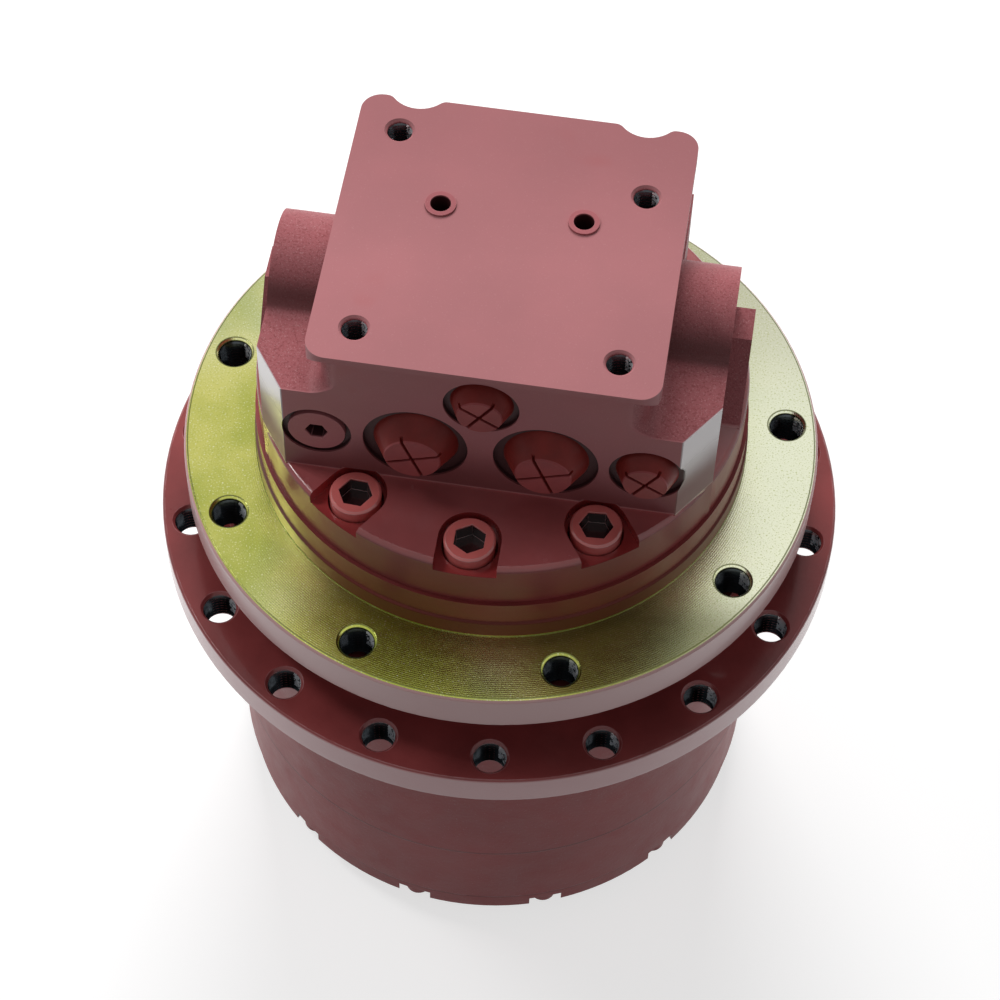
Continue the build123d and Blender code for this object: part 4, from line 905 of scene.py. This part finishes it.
@dataclass(frozen=True)
class CutThread:
    """Oily cut threads, dark partly as painted shade in the holes, with painted glints on the
    marked flanks.
    """

    # Laid darker than oily steel, as painted shade in the holes.
    dark: Colour = (0.060, 0.068, 0.075)
    glint_colour: Colour = (0.95, 0.97, 1.0)
    broken: Cloud = Cloud(520.0, 3.0, 0.36, 0.50)
    oily: float = 0.7
    rough: Waver = Waver(300.0, 0.14, 0.26)
    torn_layers: float = 2.0
    torn_mm: float = 0.01

    def build(self, name: str) -> Material:
        """Makes the metal and returns the material."""
        s = Surface(name)
        # Painted glints on the flanks marked on the lit side.
        thread_glint = s.both(s.eased_edges(), self.broken.mask(s))
        s.set(
            Base_Color=s.blend(thread_glint, self.dark, self.glint_colour),
            Metallic=s.level(thread_glint, 1.0, self.oily),
            Roughness=self.rough.value(s),
        )
        s.relief(s.noise(Grain.TORN_THREAD.value, self.torn_layers), self.torn_mm)
        return s.material


@dataclass(frozen=True)
class CapPlastic:
    """Thin red plastic of a port cap, oversprayed on its flat end."""

    end_mm: float
    end_soft_mm: float = 0.5
    side: Colour = (0.250, 0.022, 0.017)
    end: Colour = (0.40, 0.085, 0.088)
    mottle: Cloud = Cloud(90.0, 4.0, 0.32, 0.70)
    side_share: float = 0.72
    end_share: float = 0.80
    rough: Waver = Waver(160.0, 0.34, 0.52)
    shine: float = 0.20
    glow: float = 0.08
    glow_depth: float = 0.004
    skin_layers: float = 3.0
    skin_mm: float = 0.03

    def build(self, name: str) -> Material:
        """Makes the plastic and returns the material."""
        s = Surface(name)
        ends = s.fade(Axis.Y, self.end_mm + self.end_soft_mm, self.end_mm)
        cloud = self.mottle.mask(s)
        side = s.blend(cloud, shaded(self.side, self.side_share), self.side)
        end = s.blend(cloud, shaded(self.end, self.end_share), self.end)
        s.set(
            Base_Color=s.blend(ends, side, end),
            Roughness=self.rough.value(s),
            Specular_IOR_Level=self.shine,
            Subsurface_Weight=self.glow,
            Subsurface_Scale=self.glow_depth,
        )
        s.relief(s.noise(Grain.MOULD_SKIN.value, self.skin_layers), self.skin_mm)
        return s.material


DRUM_STEP = -160.0
END_COVER_TOP = -207.0
SATIN = RedPaint()
TURNED = RedPaint(
    satin=(0.305, 0.042, 0.045),
    satin_rough=Waver(90.0, 0.32, 0.50),
    gloss=(0.265, 0.050, 0.050),
    gloss_rough=Waver(45.0, 0.23, 0.42),
    gloss_clear=0.30,
    shine=0.20,
)
SOFT = PlainFinish(
    (0.03, 0.03, 0.03), 0.55, 0.0, 0.03, Cloud(120.0, 4.0, 0.3, 0.7), 0.75, 300.0, (-0.08, 0.08),
    Grain.RUBBER_SKIN.value, 3.0, WHITE,
)


class Finish(Enum):
    """Every finish that the drive's pieces wear."""

    COVER_PAINT = CastPaint(gloss_below_mm=LEDGE_Z + 0.4, hollows=FRONT_SPOTS + SLEEVE_SEATS)
    SLEEVE_PAINT = replace(SATIN, hollows=SLEEVE_BORES)
    SATIN_PAINT = SATIN
    # The screws' gloss is laid paler than the cover's, as painted light on the heads.
    SCREW_PAINT = RedPaint(
        gloss=(0.66, 0.155, 0.145), gloss_clear=0.50, gloss_above_mm=0.0, hollows=SCREW_SOCKETS
    )
    PLUG_PAINT = replace(SATIN, hollows=PLUG_SOCKET)
    # Past 147 mm the drum's rim gets the painted reflection; its steps get painted shade.
    DRUM_PAINT = replace(
        TURNED, gloss_above_mm=-45.5, rim_mm=147.0, lines_mm=(DRUM_STEP, END_COVER_TOP)
    )
    RIM_PAINT = replace(TURNED, lines_mm=(END_COVER_TOP,))
    YELLOW_ZINC = YellowZinc()
    CUT_THREAD = CutThread()
    LARGE_CAP_PLASTIC = CapPlastic(FRONT_Y - 7.1)
    SMALL_CAP_PLASTIC = CapPlastic(FRONT_Y - 4.6)
    GROUND_STEEL = PlainFinish((0.62, 0.63, 0.65), 0.24)
    HARDENED_STEEL = PlainFinish((0.48, 0.49, 0.51), 0.32)
    BLACK_STEEL = PlainFinish((0.12, 0.12, 0.13), 0.42)
    MACHINED_IRON = PlainFinish((0.34, 0.34, 0.35), 0.5, 0.85, 0.06)
    BEARING_BRONZE = PlainFinish((0.66, 0.46, 0.20), 0.3)
    FRICTION_LINING = replace(SOFT, colour=(0.28, 0.21, 0.14), roughness=0.8)
    SEAL_RUBBER = SOFT

    @cache
    def material(self) -> Material:
        """The finish's material, made the first time and shared after that."""
        return self.value.build(self.name.lower())


SLOT_FINISHES = {
    "red_paint": Finish.SATIN_PAINT,
    "yellow_zinc": Finish.YELLOW_ZINC,
    "painted_plastic": Finish.SMALL_CAP_PLASTIC,
    "ground_steel": Finish.GROUND_STEEL,
    "hardened_steel": Finish.HARDENED_STEEL,
    "black_steel": Finish.BLACK_STEEL,
    "cast_iron": Finish.MACHINED_IRON,
    "bronze": Finish.BEARING_BRONZE,
    "friction_lining": Finish.FRICTION_LINING,
    "rubber": Finish.SEAL_RUBBER,
}


def body_of(node: str) -> str:
    """The body that a CAD node belongs to."""
    groups = frame["record"]["behaviour"]["bodies"]
    return next(body for body, nodes in groups.items() if node in nodes)


def slot_of(node: str) -> str:
    """The record's material slot of a CAD node."""
    rows = frame["record"]["subparts"]
    return next(row["material_slot"] for row in rows if row["node"] == node)


def mount(name: str) -> dict:
    """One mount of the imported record."""
    return next(m for m in frame["record"]["mounts"] if m["name"] == name)


def finish_piece(
    bm: BMesh,
    name: str,
    body: str,
    slot: str,
    finish: Finish,
) -> bpy.types.Object:
    """Turns a bmesh into a piece that rides on a body.

    Args:
        bm: the finished shape, in metres in the row frame; it is freed here.
        name: the piece's name.
        body: the CAD body it rides on.
        slot: the record's material slot; not used.
        finish: what it wears.

    Returns:
        The new object.
    """
    mesh = bpy.data.meshes.new(name)
    for face in bm.faces:
        face.smooth = True
    bm.to_mesh(mesh)
    bm.free()
    mesh.set_sharp_from_angle(angle=math.radians(SMOOTH_DEG))
    piece = bpy.data.objects.new(name, mesh)
    bpy.context.scene.collection.objects.link(piece)
    mesh.materials.append(finish.material())
    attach(piece, body)
    log.info("%s: %d faces on %s", name, len(mesh.polygons), body)
    return piece


@dataclass(frozen=True)
class PlateLip:
    """The top plate's lip, whose sloped underside shows the upper port whole."""

    foot_mm: float = 117.0
    reach_mm: float = 4.5
    rise_mm: float = 4.8
    level_mm: float = 0.05
    least_mm: float = 0.01

    def slope(self, bm: BMesh) -> None:
        """Raises the lip's lower edge, the more the farther out it stands."""
        for vert in bm.verts:
            out = FRONT_Y * MM - vert.co.y
            at_foot = abs(vert.co.z - self.foot_mm * MM) < self.level_mm * MM
            if at_foot and out > self.least_mm * MM:
                vert.co.z += self.rise_mm * MM * min(out / (self.reach_mm * MM), 1.0)


@dataclass(frozen=True)
class EasedNode:
    """A rigid CAD node shown with its sharp edges broken, as machining and paint leave them."""

    node: str
    finish: Finish
    edge_mm: float
    reshape: Callable[[BMesh], None] | None = None
    sharp_deg: float = 28.0
    flat_deg: float = 0.4
    shortest_mm: float = 0.05
    weld_mm: float = 0.002
    last_weld_mm: float = 0.001
    segments: int = 2

    def build(self) -> bpy.types.Object:
        """Copies the node's mesh, eases its edges and puts it in the node's place."""
        bm = bmesh.new()
        bm.from_mesh(frame["nodes"][self.node].data)
        mark = bm.faces.layers.float.new(EDGE_MARK)
        bmesh.ops.remove_doubles(bm, verts=bm.verts, dist=self.weld_mm * MM)
        if self.reshape is not None:
            self.reshape(bm)
        bmesh.ops.dissolve_limit(
            bm,
            angle_limit=math.radians(self.flat_deg),
            use_dissolve_boundaries=False,
            verts=bm.verts,
            edges=bm.edges,
        )
        for face in self.ease(bm):
            face[mark] = 1.0
        bmesh.ops.remove_doubles(bm, verts=bm.verts, dist=self.last_weld_mm * MM)
        piece = finish_piece(
            bm, self.node + "_eased", body_of(self.node), slot_of(self.node), self.finish
        )
        flatten = piece.modifiers.new("flat_faces_stay_flat", "WEIGHTED_NORMAL")
        flatten.keep_sharp = True
        flatten.weight = 100
        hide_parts(self.node)
        return piece

    def ease(self, bm: BMesh) -> list[bmesh.types.BMFace]:
        """Rounds the sharp edges.

        Args:
            bm: the mesh that is changed.

        Returns:
            The small faces along the edges.
        """
        sharp = [
            edge
            for edge in bm.edges
            if len(edge.link_faces) == 2
            and edge.calc_face_angle(0.0) > math.radians(self.sharp_deg)
            and edge.calc_length() > self.shortest_mm * MM
        ]
        eased = bmesh.ops.bevel(
            bm,
            geom=sharp,
            offset=self.edge_mm * MM,
            offset_type="OFFSET",
            affect="EDGES",
            segments=self.segments,
            profile=0.5,
            material=-1,
            clamp_overlap=True,
        )
        return eased["faces"]


@dataclass(frozen=True)
class TappedCircle:
    """One bolt circle of tapped holes, and the thread that they carry."""

    pattern: str
    body: str
    slot: str
    phase_deg: float
    top_mm: float
    turns: int
    pitch_mm: float = 2.0
    crest_mm: float = 0.55
    steps: int = 22
    hidden_mm: float = 0.08
    bright_side: Colour = (0.90, 0.43, 0.0)
    bright_arc: float = 0.72
    bright_turns: float = 4.6

    def centres(self) -> list[Vector]:
        """A point on the axis of each hole, at height 0."""
        circle = mount(self.pattern)
        across, along, _ = circle["pos_m"]
        arm = Vector((circle["dims"]["pcd_mm"] / 2 * MM, 0.0, 0.0))
        count = circle["dims"]["count"]
        turns = (math.radians(self.phase_deg + 360.0 * n / count) for n in range(count))
        middle = Vector((across, along, 0.0))
        return [middle + Matrix.Rotation(turn, 3, "Z") @ arm for turn in turns]

    def build(self) -> bpy.types.Object:
        """Winds one ridge down every hole and joins them to one piece."""
        bm = bmesh.new()
        bm.faces.layers.float.new(EDGE_MARK)
        for centre in self.centres():
            done = len(bm.faces)
            self.wind(bm, centre)
            bm.faces.ensure_lookup_table()
            self.mark_glints(bm, bm.faces[done:], centre)
        bmesh.ops.recalc_face_normals(bm, faces=bm.faces)
        name = self.pattern.replace("bolts", "threads").replace("taps", "threads")
        return finish_piece(bm, name, self.body, self.slot, Finish.CUT_THREAD)

    def mark_glints(self, bm: BMesh, faces: list[bmesh.types.BMFace], centre: Vector) -> None:
        """Marks the flanks of one hole that get a painted glint.

        Args:
            bm: the mesh of all the holes.
            faces: the hole's own faces.
            centre: a point on the hole's axis.
        """
        mark = bm.faces.layers.float[EDGE_MARK]
        bright_mm = self.top_mm - self.bright_turns * self.pitch_mm
        for face in faces:
            middle = face.calc_center_median()
            arm = Vector((middle.x - centre.x, middle.y - centre.y, 0.0)).normalized()
            lit = arm.dot(Vector(self.bright_side)) > self.bright_arc
            if lit and middle.z > bright_mm * MM:
                face[mark] = 1.0

    def wind(self, bm: BMesh, centre: Vector) -> None:
        """Winds the ridge of one hole.

        Args:
            bm: the mesh it is added to.
            centre: a point on the hole's axis.
        """
        wall_mm = mount(self.pattern)["dims"]["hole_r_mm"]
        wall = (wall_mm + self.hidden_mm) * MM
        crest = (wall_mm - self.crest_mm) * MM
        half = 0.5 * self.pitch_mm * MM
        top = self.top_mm * MM - half
        corners = [
            bm.verts.new((centre.x + wall, centre.y, top + half)),
            bm.verts.new((centre.x + crest, centre.y, top)),
            bm.verts.new((centre.x + wall, centre.y, top - half)),
        ]
        start = bm.faces.new(corners)
        bmesh.ops.spin(
            bm,
            geom=[start, *start.edges, *start.verts],
            cent=centre,
            axis=Z_AXIS,
            dvec=(0.0, 0.0, -self.pitch_mm * MM / self.steps),
            angle=math.tau * self.turns,
            steps=self.steps * self.turns,
            use_merge=False,
        )


@dataclass(frozen=True)
class Shell:
    """Pieces that are shown with eased edges."""

    pieces: tuple[EasedNode, ...]

    def build(self) -> None:
        """Dresses each piece."""
        for piece in self.pieces:
            piece.build()


@dataclass(frozen=True)
class Housing(Shell):
    """The spindle casting, the rear cover and what is screwed into them."""

    pieces: tuple[EasedNode, ...] = (
        EasedNode("spindle", Finish.YELLOW_ZINC, 0.35),
        EasedNode("rear_cover", Finish.COVER_PAINT, 0.6, PlateLip().slope),
        EasedNode("cover_screws", Finish.SCREW_PAINT, 0.5),
        EasedNode("large_port_caps", Finish.LARGE_CAP_PLASTIC, 0.35),
        EasedNode("small_port_caps", Finish.SMALL_CAP_PLASTIC, 0.3),
        EasedNode("blind_plug", Finish.PLUG_PAINT, 0.3),
        EasedNode("port_sleeves", Finish.SLEEVE_PAINT, 0.2),
        EasedNode("spool_plugs", Finish.SATIN_PAINT, 0.3),
    )


@dataclass(frozen=True)
class Drum(Shell):
    """The turning drum with its end cover, screws and plugs."""

    pieces: tuple[EasedNode, ...] = (
        EasedNode("drum", Finish.DRUM_PAINT, 0.4),
        EasedNode("end_cover", Finish.RIM_PAINT, 0.4),
        EasedNode("end_cover_screws", Finish.RIM_PAINT, 0.3),
        EasedNode("level_plugs", Finish.RIM_PAINT, 0.2),
    )


@dataclass(frozen=True)
class Threads:
    """Threads of the frame flange, the sprocket flange and the top face."""

    circles: tuple[TappedCircle, ...] = (
        TappedCircle("frame_bolts", "spindle", "yellow_zinc", 10.0, -1.2, 9),
        TappedCircle("sprocket_bolts", "drum", "red_paint", -3.0, -44.7, 7),
        TappedCircle("valve_taps_front", "spindle", "red_paint", 0.0, 123.8, 11, 1.75, 0.45),
        TappedCircle("valve_taps_back", "spindle", "red_paint", -10.28, 123.8, 11, 1.75, 0.45),
    )

    def build(self) -> None:
        """Cuts the threads of every tapped hole that can be seen."""
        for circle in self.circles:
            circle.build()


class InnerWorks:
    """Gears, bearings, seals, brake and motor, which the housing hides."""

    def build(self) -> None:
        """Gives every CAD node that is still shown its finish."""
        for name, node in frame["nodes"].items():
            if node.hide_render:
                continue
            node.data.materials.clear()
            node.data.materials.append(SLOT_FINISHES[slot_of(name)].material())
            log.info("%s wears %s", name, node.data.materials[0].name)


@dataclass(frozen=True)
class Lamp:
    """A soft square lamp that faces the drive, in metres and watts."""

    name: str
    place: Colour
    size: float
    power: float
    mirrored: bool
    target: Colour = (0.0, 0.0, -0.04)

    def hang(self) -> None:
        """Hangs the lamp, and hides it from glossy faces unless it is mirrored."""
        light = bpy.data.lights.new(self.name, "AREA")
        light.size = self.size
        light.energy = self.power
        hung = bpy.data.objects.new(self.name, light)
        hung.location = self.place
        hung.visible_glossy = self.mirrored
        hung.rotation_mode = "QUATERNION"
        aim = Vector(self.target) - Vector(self.place)
        hung.rotation_quaternion = aim.to_track_quat("-Z", "Y")
        bpy.context.scene.collection.objects.link(hung)


@dataclass(frozen=True)
class Studio:
    """A pale floor, soft lamps and the camera."""

    lamps: tuple[Lamp, ...] = (
        Lamp("key", (-0.22, 1.36, 1.16), 0.9, 31.0, mirrored=False),
        Lamp("glint", (-0.95, 0.15, 1.05), 0.30, 5.0, mirrored=True),
    )
    floor_radius: float = 8.0
    floor_sides: int = 96
    floor_below_mm: float = 0.3
    floor_seen: Colour = (0.48, 0.48, 0.48)
    floor_mottle: Colour = (0.49, 0.49, 0.49)
    floor_clouds: float = 3.0
    floor_rough: float = 0.8
    floor_lift: float = 0.66
    floor_bounce: Colour = (0.27, 0.27, 0.27)
    world_light: float = 0.23
    focal_px: float = 2833.6
    picture_px: float = 1000.0
    sensor_mm: float = 36.0
    azimuth: float = 7.31
    elevation: float = 55.72
    roll: float = 1.71
    distance: float = 1.208
    aside: float = 0.0003
    upward: float = -0.0308
    nearest: float = 0.05
    farthest: float = 60.0

    def build(self) -> None:
        """Sets up the floor, the world, the lamps and the camera."""
        self.make_floor()
        self.make_world()
        for lamp in self.lamps:
            lamp.hang()
        self.make_camera()
        bpy.context.scene.view_settings.view_transform = "Standard"

    def make_floor(self) -> None:
        """Lays a wide floor just under the drive."""
        bm = bmesh.new()
        bmesh.ops.create_circle(
            bm, cap_ends=True, radius=self.floor_radius, segments=self.floor_sides
        )
        height = cad_low.z - self.floor_below_mm * MM
        bmesh.ops.translate(bm, verts=bm.verts, vec=(0.0, 0.0, height))
        mesh = bpy.data.meshes.new("floor")
        bm.to_mesh(mesh)
        bm.free()
        floor = bpy.data.objects.new("floor", mesh)
        bpy.context.scene.collection.objects.link(floor)
        mesh.materials.append(self.floor_finish())

    def floor_finish(self) -> Material:
        """Makes the floor white where it is seen and a plain grey as a light."""
        s = Surface("floor")
        rays = s.node("ShaderNodeLightPath").outputs
        seen = s.most(rays["Is Camera Ray"], rays["Is Glossy Ray"], rays["Is Transmission Ray"])
        mottle = s.blend(s.noise(self.floor_clouds), self.floor_seen, self.floor_mottle)
        s.set(
            Base_Color=s.blend(seen, self.floor_bounce, mottle),
            Roughness=self.floor_rough,
            Specular_IOR_Level=0.0,
            Emission_Color=WHITE,
            Emission_Strength=s.both(seen, self.floor_lift),
        )
        return s.material

    def make_world(self) -> None:
        """White to the camera and in reflections, and dimmer as a light."""
        world = bpy.data.worlds.new("studio")
        bpy.context.scene.world = world
        world.use_nodes = True
        nodes, links = world.node_tree.nodes, world.node_tree.links
        back = nodes["Background"]
        back.inputs["Color"].default_value = (*WHITE, 1.0)
        rays = nodes.new("ShaderNodeLightPath").outputs
        seen = rays["Is Camera Ray"]
        for kind in ("Is Glossy Ray", "Is Transmission Ray"):
            widen = nodes.new("ShaderNodeMath")
            widen.operation = "MAXIMUM"
            links.new(seen, widen.inputs[0])
            links.new(rays[kind], widen.inputs[1])
            seen = widen.outputs["Value"]
        strength = nodes.new("ShaderNodeMapRange")
        strength.inputs["To Min"].default_value = self.world_light
        strength.inputs["To Max"].default_value = 1.0
        links.new(seen, strength.inputs["Value"])
        links.new(strength.outputs["Result"], back.inputs["Strength"])

    def make_camera(self) -> None:
        """Stands the camera where the photograph was taken from."""
        az, el, roll = map(math.radians, (self.azimuth, self.elevation, self.roll))
        back = Vector((math.sin(az) * math.cos(el), -math.cos(az) * math.cos(el), math.sin(el)))
        right = Vector((math.cos(az), math.sin(az), 0.0))
        up = back.cross(right)
        place = back * self.distance + right * self.aside + up * self.upward
        turned_right = right * math.cos(roll) + up * math.sin(roll)
        turned_up = back.cross(turned_right)
        camera = bpy.data.cameras.new("camera")
        camera.sensor_width = self.sensor_mm
        camera.lens = self.focal_px / self.picture_px * self.sensor_mm
        camera.clip_start = self.nearest
        camera.clip_end = self.farthest
        stand = bpy.data.objects.new("camera", camera)
        axes = Matrix((turned_right, turned_up, back)).transposed()
        stand.matrix_world = Matrix.Translation(place) @ axes.to_4x4()
        bpy.context.scene.collection.objects.link(stand)
        bpy.context.scene.camera = stand


def main() -> None:
    """Builds the sub-assemblies in order."""
    logging.basicConfig(level=logging.INFO, format="%(message)s")
    for assembly in (Housing(), Drum(), Threads(), InnerWorks(), Studio()):
        assembly.build()


if __name__ == "__main__":
    main()
